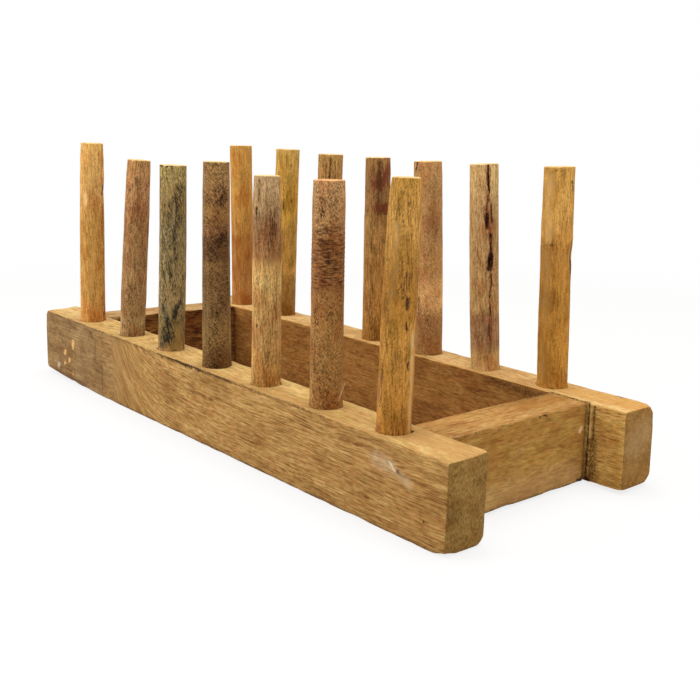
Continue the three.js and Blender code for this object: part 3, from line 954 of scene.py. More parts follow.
# Peg wood: a peeled mango branch or split billet, whittled round with a knife and rubbed
# smooth. The fibres run up the peg, the knife leaves long shallow facets, and the colour
# changes from pale sapwood to brown heartwood in patches with ragged borders.
def whittledWood(name, look):
    material, tree = newMaterial(name)
    place = addNode(tree, "Attribute", {"attribute_name": "grain"}).outputs["Vector"]
    height = addNode(tree, "SeparateXYZ", None, {0: place}).outputs["Z"]

    # clouds, fibres and specks: width and length in mm, share in the tone, lean in degrees
    tone = 0.0
    for wide, long, share, lean in look["layers"]:
        lean = math.radians(lean)
        size = addNode(tree, "Mapping", {"vector_type": "TEXTURE"}, {
            "Vector": place, "Scale": (wide, wide, long), "Rotation": (lean, -0.8 * lean, 0),
            "Location": (3 * long, wide, 0)})
        specks = addNode(tree, "TexNoise", None, {
            "Vector": size, "Scale": 1.0, "Detail": 1.5, "Roughness": 0.55, "Distortion": 0.3})
        tone = addNode(tree, "Math", {"operation": "MULTIPLY_ADD"}, {0: specks, 1: share, 2: tone})

    if "ripple" in look:
        # curly figure that runs across the fibres
        fromHeight, toHeight, spacing = look["ripple"]
        wide, strength = pegWood["curl"]
        curlSize = addNode(tree, "Mapping", None, {
            "Vector": place, "Scale": (1 / wide, 1 / wide, 1 / spacing)})
        curl = addNode(tree, "TexNoise", None, {
            "Vector": curlSize, "Scale": 1.0, "Detail": 2.0, "Distortion": 0.3})
        middle, half = (fromHeight + toHeight) / 2, (toHeight - fromHeight) / 2
        off = addNode(tree, "Math", {"operation": "SUBTRACT"}, {0: height, 1: middle})
        off = addNode(tree, "Math", {"operation": "ABSOLUTE"}, {0: off})
        share = addNode(tree, "MapRange", easedRange, {
            0: off, 1: half, 2: half - pegShape["rippleEase"], 4: strength})
        tone = addNode(tree, "Mix", valueMix, {0: share, 2: tone, 3: curl})

    # the tone along the peg, its borders frayed by the fibres
    far, tallest = pegWood["toneFray"], pegWood["tallest"]
    fray = addNode(tree, "MapRange", None, {0: tone, 1: 0.25, 2: 0.75, 3: -far, 4: far})
    along = addNode(tree, "Math", {"operation": "ADD"}, {0: height, 1: fray})
    along = addNode(tree, "MapRange", None, {0: along, 2: tallest})
    wood = addNode(tree, "ValToRGB", {
        "stops": [(h / tallest, colour) for h, colour in look["tones"]]}, {0: along}).outputs[0]

    # dark fibres are deeper in colour, light ones brighter
    low, high = 0.5 - look["spread"], 0.5 + look["spread"]
    level = addNode(tree, "MapRange", None, {
        0: tone, 1: low, 2: high, 3: 1 - look["contrast"], 4: 1 + look["contrast"]})
    wood = addNode(tree, "VectorMath", {"operation": "SCALE"}, {0: wood, "Scale": level}).outputs[0]

    # deep dark fibres, patches of another hue, pale flecks where short fibres were torn up
    noises = {}
    for kind, detail, lean in (("hue", 3.0, (0, 0, 0)), ("fleck", 2.0, (0.5, 0.3, 0))):
        size = addNode(tree, "Mapping", None, {
            "Vector": place, "Scale": [1 / side for side in pegWood[kind]], "Rotation": lean})
        noises[kind] = addNode(tree, "TexNoise", None, {"Vector": size, "Scale": 1.0, "Detail": detail})
    for level, rim, core, share, blend, colour in (
        (tone, 0.5, low, "deepShare", "MIX", "deep"),
        (noises["hue"], 0.45, 0.65, "hueShare", "MULTIPLY", "hue"),
        (noises["fleck"], 0.58, 0.68, "fleckShare", "MIX", "cut"),
    ):
        share = addNode(tree, "MapRange", easedRange, {0: level, 1: rim, 2: core, 4: look[share]})
        wood = addNode(tree, "Mix", {"data_type": "RGBA", "blend_type": blend}, {
            0: share, 6: wood, 7: linear(look[colour])}).outputs[2]

    # marks kept on the mesh: red or yellow tint, then dark ink, then pale cuts; the ink also carries a
    # painted contact shade at each peg's foot, and on some pegs the tint, ink and pale cuts carry painted
    # shade and painted highlights
    marks = addNode(tree, "Attribute", {"attribute_name": "marks"})
    channels = addNode(tree, "SeparateColor", None, {0: marks.outputs["Color"]}).outputs
    ragged = addNode(tree, "MapRange", {"clamp": False}, {
        0: tone, 1: 0.38, 2: 0.62, 3: look["ragged"], 4: -look["ragged"]})
    wood = layMarks(tree, wood, ragged, pegWood["markRise"], [
        (channels[channel], look[kind], 1.0) for channel, kind in ((2, "tint"), (0, "ink"), (1, "cut"))])

    # the sawn top: pale, with growth rings round the heart and a little dirt
    radius = addNode(tree, "Mapping", None, {"Vector": place, "Scale": (1.0, 1.0, 0.0)})
    radius = addNode(tree, "VectorMath", {"operation": "LENGTH"}, {0: radius}).outputs["Value"]
    rings = addNode(tree, "Math", {"operation": "MULTIPLY_ADD"}, {
        0: noises["hue"], 1: pegWood["ringWander"], 2: radius})
    rings = addNode(tree, "TexNoise", {"noise_dimensions": "1D"}, {
        "W": rings, "Scale": 0.9, "Detail": 2.0})
    grit = addNode(tree, "Mix", valueMix, {0: 0.5, 2: rings, 3: specks})
    sawn = addNode(tree, "ValToRGB", {"stops": [
        (0.36, look["endDark"]), (0.60, look["endLight"])]}, {0: grit})
    onEnd = addNode(tree, "Attribute", {"attribute_name": "onEnd"}).outputs["Fac"]
    wood = addNode(tree, "Mix", colourMix, {0: onEnd, 6: wood, 7: sawn.outputs[0]}).outputs[2]

    bump = addNode(tree, "Bump", None, {
        "Strength": look["relief"], "Distance": pegWood["reliefDepth"] * mm, "Height": tone})
    mattest, glossiest = pegWood["roughness"]
    rough = addNode(tree, "MapRange", None, {0: specks, 1: 0.3, 2: 0.7, 3: mattest, 4: glossiest})
    shader = addNode(tree, "BsdfPrincipled", None, {
        "Base Color": wood, "Roughness": rough, "IOR": 1.45, "Specular IOR Level": pegWood["shine"],
        "Normal": bump})
    addNode(tree, "OutputMaterial", None, {0: shader})
    return material


# shared measures of the pegs' wood; sizes run across, across and up the peg
pegWood = {
    "hue": (6, 6, 15),
    "fleck": (0.7, 0.7, 1.6),
    "curl": (3.4, 0.62),  # width of the curly figure, and its strength
    "toneFray": 4.0,  # how far the fibres move the borders between tones
    "tallest": 130,  # height that the ramp of tones reaches
    "markRise": 1.4,  # how soon a mark is as strong as it gets
    "ringWander": 2.5,
    "reliefDepth": 0.3,
    "roughness": (0.8, 0.6),
    "shine": 0.1,
}

# shared measures of the pegs
pegShape = {
    "sides": 80,
    "rings": 165,
    "capRings": 7,
    "rimEase": 0.5,
    "roundTo": -0.5,  # a peg stays round up to this height over the rail
    "shapedFrom": 5,  # and has its whittled shape from this one on
    "knifeCuts": 26,
    "cutDepth": (0.1, 0.42),
    "cutLength": (16, 52),
    "cutFlatness": 0.85,
    "lumps": [(0.10, 2.4, 9), (0.05, 7, 2.5)],  # how far out, waves round the peg, length
    "rippleDepth": 0.09,
    "rippleEase": 9,
    "bow": 0.35,
    "oval": (0.05, 0.14),
    "chipDepth": 0.8,
    "sawDepth": 0.12,
    # painted contact shade at each peg's foot, where it meets the rail
    "dirt": 0.45,
    "dirtReach": (1.6, 0.2),  # heights over the rail at which the painted contact shade at the foot is gone, and full
    "fray": 0.5,
    "markEase": (1.6, 0.1),
    "markLimit": 2.4,
    "sliverSides": 10,
    "sliverTip": 0.3,  # its thin end, as a share of its thickness
    "sliverCuts": 14,
    "sliverLift": (0.2, 0.9),
    "girthOver": 8.6,  # radius at which the marks' angles turn to millimetres
}

# long streaky fibres, or short ones that cross, each with clouds under them
streaky = [(3.4, 26, 0.16, 0), (0.8, 7, 0.42, 3), (0.52, 1.7, 0.42, -14)]
speckled = [(4.0, 9, 0.18, 0), (0.62, 2.1, 0.42, 30), (0.52, 1.6, 0.40, -28)]

plainLook = {
    "layers": streaky, "spread": 0.13, "contrast": 0.46, "deep": "5a3418", "deepShare": 0.22,
    "hue": "d8a888", "hueShare": 0.5, "fleckShare": 0.0, "relief": 0.5, "ragged": 0.4,
    "ink": "3a2212", "cut": "e0b878", "tint": "8e4a22", "endDark": "ae8452", "endLight": "e0c088",
}

# per peg: girth as (height over the rail, diameter); tones as (height, colour); bumps as
# (angle, height, half angle, half height, how far out); marks as (kind, angle and height of
# both ends, reach, strength). Angles run round the peg from +X in degrees.
pegs = {
    "front_peg_1": {
        "girth": [(0, 17.4), (60, 16.9), (100, 16.3), (112, 15.9), (126, 15.0)],
        "look": {
            "tones": [(0, "c18a49"), (25, "bb8c47"), (70, "b98b46"), (92, "ca9a59"), (118, "cea059")],
            "contrast": 0.42, "deepShare": 0.12, "deep": "7a4a20", "hue": "e8b890", "cut": "eec688",
        },
        "bumps": [(48, 92, 32, 7, -0.25), (36, 102, 40, 9, 0.2), (-60, 87, 26, 9, -0.3)],
        "marks": [
            # the pale cut at -60 degrees is a real knife cut and a painted highlight on it
            ("cut", -60, 83, -62, 90, 2.2, 0.62), ("cut", -24, 98, -22, 120, 1, 0.35),
            ("ink", 30, 91, 42, 97, 1.8, 0.7), ("ink", 36, 58, 38, 74, 0.9, 0.45),
            ("ink", 38, 1, 38, 7, 1.2, 0.6), ("ink", -58, 74, -57, 76, 0.8, 0.6),
            ("tint", -30, 3, 25, 8, 4, 0.3), ("ink", -6, 96, -4, 112, 0.7, 0.35),
            # the tint from foot to top at 36 degrees is painted shade on the right side
            ("tint", 36, 2, 38, 122, 4, 0.52), ("tint", 34, 60, 38, 88, 3, 0.6),
        ],
    },
    "front_peg_2": {
        "girth": [(0, 16.4), (37, 16.8), (77, 16.5), (106, 15.6), (117, 14.8)],
        "look": {
            "layers": [(4.0, 9, 0.18, 0), (0.7, 5, 0.40, 4), (0.6, 1.6, 0.42, -34)],
            "contrast": 0.66, "fleckShare": 0.15, "cut": "b89468",
            "tones": [(0, "97774b"), (12, "a38758"), (15, "8f6c42"), (45, "9c784c"), (70, "976f43"),
                      (100, "a6794d"), (118, "ad824d")],
            "deep": "4c2c1c", "hue": "d8a898",
        },
        "bumps": [],
        "marks": [
            ("ink", -70, 13.4, 40, 12.8, 0.6, 0.35), ("tint", -85, 30, -82, 105, 2.5, 0.35),
            ("ink", -55, 60, -50, 110, 1.4, 0.25), ("ink", 10, 20, 15, 60, 1.6, 0.3),
            ("ink", -50, 1, 30, 1.5, 1, 0.5), ("ink", -30, 44, -28, 47, 1, 0.5),
        ],
    },
    "front_peg_3": {
        "girth": [(0, 16.5), (31, 16.8), (112, 16.2)],
        "look": {
            "contrast": 0.78, "ragged": 0.3, "fleckShare": 0.4, "cut": "c0a878",
            "layers": [(3.0, 12, 0.16, 0), (0.9, 6, 0.42, 12), (0.6, 2.2, 0.42, -22)],
            "tones": [(0, "a57f4b"), (9, "7f6338"), (19, "776238"), (30, "8d734b"), (60, "8d764b"),
                      (75, "826e49"), (92, "866b40"), (112, "9b844f")],
            "ink": "26251f", "deep": "3a3a2e", "deepShare": 0.4, "hue": "b8c0a8", "tint": "a8864a",
        },
        "bumps": [(-24, 86, 12, 7, 0.25), (-50, 115.4, 25, 1.4, -0.6)],
        "marks": [
            ("ink", -39, 16, -67, 28, 2.4, 0.8), ("ink", -39, 16, 8, 31, 2.2, 0.8),
            ("ink", -67, 28, -76, 42, 1.8, 0.5), ("ink", 8, 31, 20, 48, 2, 0.5),
            ("ink", -46, 8, -38, 15, 4, 0.8), ("ink", -72, 3, -60, 14, 3, 0.65),
            ("ink", -30, 4, -24, 12, 2.4, 0.5), ("ink", -22, 70, -10, 102, 1.8, 0.7),
            ("ink", -14, 58, -24, 80, 1.8, 0.65), ("ink", -60, 56, -40, 92, 3.6, 0.5),
            ("ink", 7, 80, 5, 104, 2.6, 0.55), ("ink", -33, 38, -36, 58, 2.4, 0.5),
            ("ink", -74, 48, -66, 74, 3, 0.5), ("cut", -24, 80, -22, 92, 1.2, 0.6),
            ("cut", -50, 94, -30, 112, 2.4, 0.4), ("cut", -2, 50, 4, 74, 2.4, 0.22),
            ("ink", -96, 114.6, -30, 115.2, 1.2, 1), ("cut", -56, 24, -16, 33, 3, 0.35),
            ("tint", -4, 3, 8, 16, 3.2, 0.55), ("ink", 24, 2, 24, 112, 1, 0.25),
        ],
    },
    "front_peg_4": {
        "girth": [(0, 17.1), (45, 16.3), (74, 15.8), (97, 15.6), (118, 15.0)],
        "look": {
            "layers": [(4.0, 9, 0.18, 0), (0.62, 2.6, 0.42, 36), (0.52, 2.0, 0.40, -36)],
            "contrast": 0.84, "ragged": 0.35, "fleckShare": 0.34, "cut": "b0945e",
            "tones": [(0, "694a26"), (10, "71512d"), (20, "826337"), (34, "725532"), (62, "785834"),
                      (66, "5e4024"), (76, "614326"), (80, "80593a"), (90, "91693b"), (96, "7c5832"),
                      (104, "8f6a40"), (118, "957246")],
            "ink": "34200f", "deep": "382818", "deepShare": 0.3, "hue": "c8b890", "tint": "8a5030",
        },
        "bumps": [],
        "marks": [
            ("ink", -8, 96, 4, 104, 3.6, 0.72), ("ink", -26, 72, 10, 79, 5, 0.62),
            ("ink", -12, 98, -4, 101, 1.6, 0.8), ("ink", -14, 74, -6, 78, 2, 0.75),
            ("ink", -45, 68, -10, 72, 3.6, 0.4), ("ink", -34, 33, -16, 42, 4.6, 0.45),
            ("ink", -2, 25, 5, 36, 3.4, 0.45), ("ink", -52, 16, -38, 26, 3.4, 0.35),
            ("ink", -42, 1, -15, 6, 4.4, 0.6), ("ink", -60, 84, -50, 108, 2, 0.3),
            ("ink", -40, 96, 38, 98, 3.2, 0.52), ("ink", -54, 70, 40, 73, 4.8, 0.52),
            ("ink", 30, 20, 32, 100, 3, 0.3),
            ("cut", 37, 8, 38, 112, 0.9, 0.5), ("cut", -72, 8, -70, 50, 1, 0.35),
            ("tint", -50, 84, -30, 100, 3, 0.35), ("tint", -10, 58, 10, 68, 3, 0.35),
            ("ink", -90, 117, 60, 118, 0.6, 0.5),
        ],
    },
    "front_peg_5": {
        "girth": [(0, 16.4), (46, 15.9), (94, 15.5), (113, 14.0)],
        "look": {
            "tones": [(0, "b18545"), (30, "b1874f"), (46, "b38a50"), (58, "cca868"), (67, "c4995a"),
                      (71, "996d42"), (88, "936c47"), (98, "a5855b"), (113, "b19268")],
            "contrast": 0.56, "deep": "6a4020", "fleckShare": 0.2,
        },
        "bumps": [(-78, 95, 14, 3, 0.35), (-12, 88, 30, 9, -0.25), (-77, 33.7, 7, 1.2, -0.5)],
        "marks": [
            ("ink", -70, 99, -71, 111, 0.8, 0.7), ("ink", -78, 94, -77, 97, 1.2, 0.9),
            ("ink", -12, 84, 4, 96, 4, 0.5), ("ink", -30, 76, -6, 86, 4.6, 0.36),
            ("ink", -72, 70, -56, 80, 3.6, 0.34), ("ink", -77, 33, -77, 34.4, 0.8, 1),
            ("ink", -24, 40, -22, 43, 1, 0.6), ("ink", 4, 20, 8, 60, 0.8, 0.45),
            ("ink", -30, 10, -28, 30, 0.7, 0.45), ("ink", -10, 4, -14, 20, 0.7, 0.5),
            ("ink", -50, 46, -48, 60, 0.7, 0.4), ("tint", -75, 20, -72, 60, 1.8, 0.25),
            ("cut", 14, 10, 14, 66, 0.9, 0.35), ("tint", -60, 2, -10, 3, 1.6, 0.35),
        ],
    },
    "front_peg_6": {
        "girth": [(0, 17.3), (55, 17.0), (104, 16.6), (113, 15.9)],
        "look": {
            "layers": speckled, "contrast": 0.7, "fleckShare": 0.3, "cut": "c09a68",
            "tones": [(0, "9d713c"), (18, "946c3a"), (40, "9b703c"), (56, "996c3a"), (64, "845830"),
                      (84, "835930"), (96, "a1784a"), (118, "b58a5b")],
            "ink": "38190c", "deep": "46281a", "deepShare": 0.18, "hue": "d8a890", "tint": "7e4620",
            "ripple": (57, 98, 0.8), "endDark": "a86c38", "endLight": "d8a468",
        },
        "bumps": [(-38, 75, 30, 6, -0.2)],
        "marks": [
            ("ink", -61, 98, -58, 105, 2.4, 0.6), ("ink", -58, 64, -46, 92, 4.6, 0.5),
            ("ink", -28, 66, -34, 84, 3.8, 0.42), ("ink", -38, 70, -38, 78, 2.4, 0.7),
            ("tint", -60, 58, -50, 70, 3.6, 0.5), ("ink", -88, 8, -88, 52, 1.5, 0.55),
            ("tint", -40, 84, -10, 94, 4, 0.35), ("ink", 20, 60, 24, 90, 3, 0.35),
            ("ink", -50, 30, -20, 26, 2, 0.25), ("ink", -80, 4, -74, 44, 3, 0.35),
            ("cut", 30, 60, 30, 92, 0.8, 0.25), ("tint", -60, 2, 10, 3, 2, 0.35),
            ("cut", 43, 12.5, 7, 4, 0.9, 0.9),
        ],
        "splinter": ((43, 12.5), (7, 4), 0.42),
    },
    "front_peg_7": {
        "girth": [(0, 16.7), (26, 17.0), (45, 16.5), (54, 15.9), (63, 16.4), (81, 15.5), (99, 15.4),
                  (110, 14.4), (119, 13.1)],
        "look": {
            "tones": [(0, "ac752f"), (30, "aa7733"), (46, "b27f38"), (58, "9e6d2b"), (74, "96672a"),
                      (84, "ab7c3a"), (99, "b78743"), (119, "ae7f38")],
            "contrast": 0.52, "deep": "6a4418", "deepShare": 0.2, "hue": "c0b878", "fleckShare": 0.12,
            "layers": [(3.4, 20, 0.16, 0), (0.7, 8, 0.42, 3), (0.5, 1.5, 0.42, -24)],
            "tint": "94603c", "cut": "dcc088",
        },
        "bumps": [(-3, 60, 38, 9, 0.8), (-70, 76, 35, 14, -0.4), (13, 24, 9, 26, 0.35),
                  (-3, 32.5, 8, 2, -0.7), (-20, 100, 30, 12, -0.25)],
        "marks": [
            # the pale cuts at -62 to -72 degrees are knife facets with painted highlights on the left
            # side
            ("cut", -65, 88, -66, 97, 2.2, 0.35), ("cut", -62, 74, -64, 84, 2, 0.3),
            ("cut", -70, 56, -71, 70, 1.6, 0.25), ("ink", -21, 60, -20, 64, 1.5, 0.9),
            ("ink", -15, 50, -17, 52.5, 1.2, 0.85), ("ink", -35, 64, -32, 76, 0.7, 0.8),
            ("ink", -46, 68, -44, 82, 0.7, 0.65), ("ink", -25, 66, -25, 80, 0.6, 0.6),
            ("ink", -53, 60, -51, 76, 0.6, 0.55), ("ink", -14, 62, -12, 76, 0.7, 0.6),
            ("cut", 14, 1, 13, 48, 2, 0.5), ("ink", 4, 6, 4, 26, 0.8, 0.45),
            ("ink", -3, 31, -3, 34.4, 0.9, 1), ("tint", -106, 0, -104, 26, 2.4, 0.6),
            ("ink", -97, 0, -95, 34, 0.7, 0.6), ("ink", -62, 96, -62, 112, 0.6, 0.4),
            ("ink", -46, 98, -45, 114, 0.6, 0.5), ("ink", -30, 96, -30, 112, 0.6, 0.5),
            ("ink", -15, 96, -14, 110, 0.6, 0.4), ("tint", -60, 2, -20, 4, 2.6, 0.35),
            ("ink", -90, 50, -86, 66, 1.2, 0.4), ("cut", 22, 40, 22, 52, 1.4, 0.4),
            # the wide pale cut at -70 to -72 degrees is a painted highlight on the left side
            ("ink", -40, 58, -20, 80, 6, 0.22), ("cut", -72, 60, -70, 96, 3, 0.25),
        ],
    },
    "back_peg_1": {
        "girth": [(0, 17.8), (60, 17.7), (124, 17.4)],
        "look": {
            "tones": [(0, "a8743d"), (12, "b47e42"), (28, "a77036"), (47, "a97235"), (52, "a47035"),
                      (60, "b6833e"), (78, "be8b43"), (124, "bd8b43")],
            "contrast": 0.36, "deepShare": 0.15, "deep": "7a4818", "hue": "e0a870",
        },
        "bumps": [],
        "marks": [
            ("ink", -60, 50, -10, 56, 2.6, 0.25), ("cut", -76, 30, -76, 100, 0.8, 0.4),
            ("ink", -45, 8, -40, 40, 0.8, 0.3), ("ink", -10, 60, -8, 78, 0.8, 0.3),
        ],
    },
    "back_peg_2": {
        "girth": [(0, 17.5), (60, 17.5), (122, 17.2)],
        "look": {
            "tones": [(0, "a47235"), (20, "9e7236"), (29, "aa7a3a"), (33, "c49247"), (60, "bb8a41"),
                      (76, "d19f45"), (100, "c89643"), (122, "c49b52")],
            "contrast": 0.36, "deep": "5c4418", "hue": "c0b880", "hueShare": 0.7,
            "tint": "8a8040",
        },
        "bumps": [(-18, 111, 14, 3, 0.3), (-13, 85, 12, 2.4, 0.2)],
        "marks": [
            ("ink", -18, 110, -17, 112, 1, 0.8), ("ink", -13, 84, -12, 86, 0.9, 0.7),
            ("ink", -49, 80, -49, 98, 0.8, 0.6), ("ink", 25, 86, 25, 100, 0.8, 0.6),
            ("ink", -26, 41, -22, 46, 1.8, 0.45), ("ink", 0, 60, 4, 78, 0.8, 0.5),
            ("tint", -60, 100, 30, 108, 3.5, 0.4), ("tint", 5, 40, 8, 60, 2, 0.35),
            ("ink", -60, 30, 40, 31, 0.7, 0.3), ("ink", -5, 102, 0, 116, 0.7, 0.5),
        ],
    },
    "back_peg_3": {
        "girth": [(0, 17.6), (120, 17.3)],
        "look": {
            "tones": [(0, "976b36"), (60, "8d6334"), (75, "976b3c"), (90, "a87f4b"), (106, "a67945"),
                      (120, "ae864b")],
            "contrast": 0.56, "deep": "4e3820", "deepShare": 0.3, "hue": "c8b898",
        },
        "bumps": [],
        "marks": [
            ("ink", -60, 96, -60, 118, 0.8, 0.6), ("ink", -40, 94, -38, 118, 0.8, 0.7),
            ("ink", -15, 96, -14, 116, 0.7, 0.6), ("ink", 0, 98, 2, 118, 0.7, 0.5),
        ],
    },
    "back_peg_4": {
        "girth": [(0, 18.3), (60, 18.0), (82, 17.8), (84, 17.2), (109, 16.7), (121, 16.2)],
        "look": {
            "tones": [(0, "ad7a36"), (26, "b88141"), (60, "ac7d42"), (80, "aa7f47"), (86, "9c7140"),
                      (106, "8f653c"), (121, "9e7140")],
            "contrast": 0.54, "ragged": 0.24, "deep": "40301e", "deepShare": 0.2, "hue": "c0b098",
            "tint": "6e3a22", "ink": "382a1a",
        },
        "bumps": [],
        "marks": [
            ("tint", -40, 88, 14, 88, 5, 0.85), ("tint", -36, 102, 10, 112, 6.4, 0.85),
            ("ink", -46, 84, 14, 84.6, 0.8, 0.6), ("ink", -38, 92, -33, 117, 2, 0.66),
            ("ink", -60, 46, -62, 80, 3, 0.42), ("ink", -68, 16, -58, 50, 3, 0.42),
            ("ink", -52, 0, -46, 14, 3.2, 0.55), ("cut", -21, 92, -12, 97, 2.4, 0.25),
            ("cut", -76, 10, -76, 80, 1, 0.3),
        ],
    },
    "back_peg_5": {
        "girth": [(0, 18.2), (111, 17.4), (121, 17.0)],
        "look": {
            "layers": speckled, "contrast": 0.46, "fleckShare": 0.2, "cut": "c49c70",
            "tones": [(0, "af834c"), (24, "a67748"), (30, "dca86a"), (42, "dcaa6c"), (54, "c19156"),
                      (80, "b18552"), (121, "b68a54")],
            "deep": "5a3824", "hue": "d8a898",
        },
        "bumps": [(-100, 119, 20, 3, -1)],
        "marks": [
            ("ink", -100, 115, -100, 121, 1.2, 1), ("ink", -83, 26, -83, 36, 1.2, 0.7),
            ("ink", -22, 80, -20, 84, 1, 0.6), ("ink", -40, 22, -10, 24, 1.8, 0.3),
            ("tint", -60, 8, -20, 20, 4, 0.3), ("ink", -60, 60, -56, 100, 1, 0.3),
        ],
    },
    "back_peg_6": {
        "girth": [(0, 16.9), (17, 17.2), (70, 16.9), (121, 16.3)],
        "look": {
            "contrast": 0.48, "ragged": 0.26, "fleckShare": 0.2, "cut": "c8a074",
            "tones": [(0, "daaf70"), (9, "cca464"), (15, "a77e53"), (32, "a57c53"), (37, "bf975e"),
                      (60, "ba935e"), (92, "b28d5c"), (104, "c5a069"), (121, "caab70")],
            "deep": "5a3420", "ink": "2c120a", "tint": "86452a",
        },
        "bumps": [(-22, 64.5, 11, 4.2, -2.2), (-32, 111, 6, 9, -0.6), (-37, 88, 6, 7, -0.5)],
        "marks": [
            ("tint", -30, 119, -34, 96, 1.6, 0.75), ("tint", -36, 95, -30, 84, 2.2, 0.8),
            ("tint", -24, 84, -20, 60, 2, 0.8), ("tint", -20, 58, -24, 18, 2, 0.7),
            ("ink", -32, 119, -28, 105, 1.1, 0.85), ("ink", -28, 105, -37, 94, 1, 0.65),
            ("ink", -37, 92, -37, 84, 1.4, 0.9), ("ink", -16, 98, -16, 88, 1.1, 0.7),
            ("ink", -22, 80, -18, 70, 1.2, 0.9), ("ink", -26, 61, -19, 68, 2.4, 1),
            ("ink", -19, 50, -20, 57, 1.2, 0.8), ("ink", -26, 44, -25, 50, 1.1, 0.75),
            ("ink", -26, 33, -26, 39, 1.1, 0.75), ("ink", -31, 21, -30, 27, 1.1, 0.7),
            ("ink", -27, 11, -27, 15, 1, 0.6),
            ("ink", -70, 14, 10, 16, 1.8, 0.25), ("ink", -60, 119, 0, 120, 0.8, 0.4),
        ],
    },
    "back_peg_7": {
        "girth": [(0, 16.9), (31, 17.1), (65, 16.7), (81, 17.1), (121, 16.5)],
        "look": {
            "tones": [(0, "bb863b"), (18, "b27e32"), (36, "b07b32"), (50, "a3732e"), (62, "ab7834"),
                      (78, "a97736"), (82, "c3924a"), (121, "c4944a")],
            "contrast": 0.4, "deep": "6a4a18", "deepShare": 0.15, "hue": "c8b080", "fleckShare": 0.1,
            "tint": "8a5c1c", "cut": "d8b47c",
            "layers": [(3.4, 20, 0.16, 0), (0.7, 6, 0.42, 3), (0.52, 1.6, 0.42, -20)],
        },
        "bumps": [(20, 73, 26, 6.5, -0.9), (14, 83, 30, 3, 0.35), (-33, 67, 10, 3, 0.2)],
        "marks": [
            ("ink", 27, 64, 28, 70, 1.5, 1), ("ink", -84, 117.5, -60, 119, 0.9, 0.6),
            # the ink at 18 to 20 degrees is a painted shadow in the dent
            ("ink", 9, 107, 9, 113, 1.1, 0.7), ("ink", 18, 66, 20, 79, 1.2, 0.6),
            ("ink", -96, 79, 6, 81, 0.8, 0.5), ("ink", -50, 20, -46, 40, 0.8, 0.4),
            ("ink", -66, 88, -64, 108, 0.8, 0.35), ("ink", -20, 84, -22, 104, 0.8, 0.3),
            # the pale cuts at -88 degrees are a painted highlight down the left side, the tint at 18
            # degrees painted shade down the right side
            ("tint", -60, 52, -10, 56, 3, 0.3), ("cut", -88, 84, -88, 116, 4, 0.4),
            ("cut", -88, 4, -88, 76, 3.4, 0.3), ("tint", 18, 4, 18, 116, 4.6, 0.4),
        ],
    },
}


def knifeCuts(rand, height):
    cuts = []
    for _ in range(pegShape["knifeCuts"]):
        cuts.append((
            rand.uniform(0, 2 * math.pi),
            rand.uniform(-10, height),
            rand.uniform(*pegShape["cutLength"]),
            rand.uniform(*pegShape["cutDepth"]),
        ))
    return cuts


def whittle(radius, angle, height, cuts):
    # the least of the round and of every flat that the knife left here
    best = radius
    for cutAngle, middle, reach, depth in cuts:
        along = (height - middle) / reach
        if abs(along) >= 1:
            continue
        facing = math.cos(angle - cutAngle)
        if facing < 0.5:
            continue
        flat = (radius - depth * (1 - along * along)) / facing
        if flat < best:
            best += (flat - best) * pegShape["cutFlatness"]
    return best


def turnBetween(angle, other):
    return (angle - other + 180) % 360 - 180


def pegRadius(spec, angle, height, footRadius, cuts, seed):
    # angle in degrees, height over the rail; the part in the socket stays round
    roundTo, shapedFrom = pegShape["roundTo"], pegShape["shapedFrom"]
    if height < roundTo:
        return footRadius
    radius = atStations(spec["girth"], max(height, 0)) / 2
    turned = math.radians(angle)
    worked = whittle(radius, turned, height, cuts)
    for far, waves, long in pegShape["lumps"]:
        worked += far * wander(waves * math.cos(turned), waves * math.sin(turned), height / long, seed)
    if "ripple" in spec["look"]:
        low, high, spacing = spec["look"]["ripple"]
        ease = pegShape["rippleEase"]
        inBand = smooth(low, low + ease, height) * smooth(high, high - ease, height)
        wave = math.sin(2 * math.pi * height / (3 * spacing) + 0.05 * angle)
        worked += pegShape["rippleDepth"] * inBand * wave
    for middle, level, halfAngle, halfHeight, depth in spec["bumps"]:
        off = math.hypot(turnBetween(angle, middle) / halfAngle, (height - level) / halfHeight)
        worked += depth * smooth(1.25, 0.1, off)
    if height < shapedFrom:
        return footRadius + (worked - footRadius) * smooth(roundTo, shapedFrom, height)
    return worked


def markPeg(bm, spec, upright, foot, seat, tipHeight, seed):
    # keeps on the mesh the way the fibres run and how strongly each mark covers a place
    grain = bm.verts.layers.float_vector.new("grain")
    marks = bm.verts.layers.float_color.new("marks")
    onEnd = bm.verts.layers.float.new("onEnd")
    kinds = {"ink": 0, "cut": 1, "tint": 2}
    girthOver = pegShape["girthOver"]
    bm.normal_update()
    way = upright @ Vector((0, 0, 1))
    back = upright.inverted()
    for v in bm.verts:
        local = back @ (v.co - foot)
        local.z -= seat
        v[grain] = local
        v[onEnd] = smooth(0.55, 0.9, v.normal.dot(way)) * smooth(tipHeight - 3, tipHeight - 1.5, local.z)
        angle = math.degrees(math.atan2(local.y, local.x))
        cover = [0, 0, 0]
        # painted contact shade: darker towards the foot, where the peg meets the rail
        dirt = smooth(*pegShape["dirtReach"], local.z) * (0.5 + wander(*(local / 4), seed))
        cover[0] = pegShape["dirt"] * dirt
        for n, (kind, a, low, b, high, reach, strength) in enumerate(spec["marks"]):
            limit = pegShape["markLimit"] * reach
            if not min(low, high) - limit < local.z < max(low, high) + limit:
                continue
            middle = (a + b) / 2
            across = Vector((math.radians(turnBetween(angle, middle)) * girthOver, local.z))
            start = Vector((math.radians(a - middle) * girthOver, low))
            end = Vector((math.radians(b - middle) * girthOver, high))
            fray = pegShape["fray"] * wander(across.x / 2, local.z / 5, n, seed)
            away = distanceToLine(across, start, end) / reach + fray
            level = kinds[kind]
            cover[level] = max(cover[level], smooth(*pegShape["markEase"], away) * strength)
        v[marks] = (*[max(share, 0) for share in cover], 1)


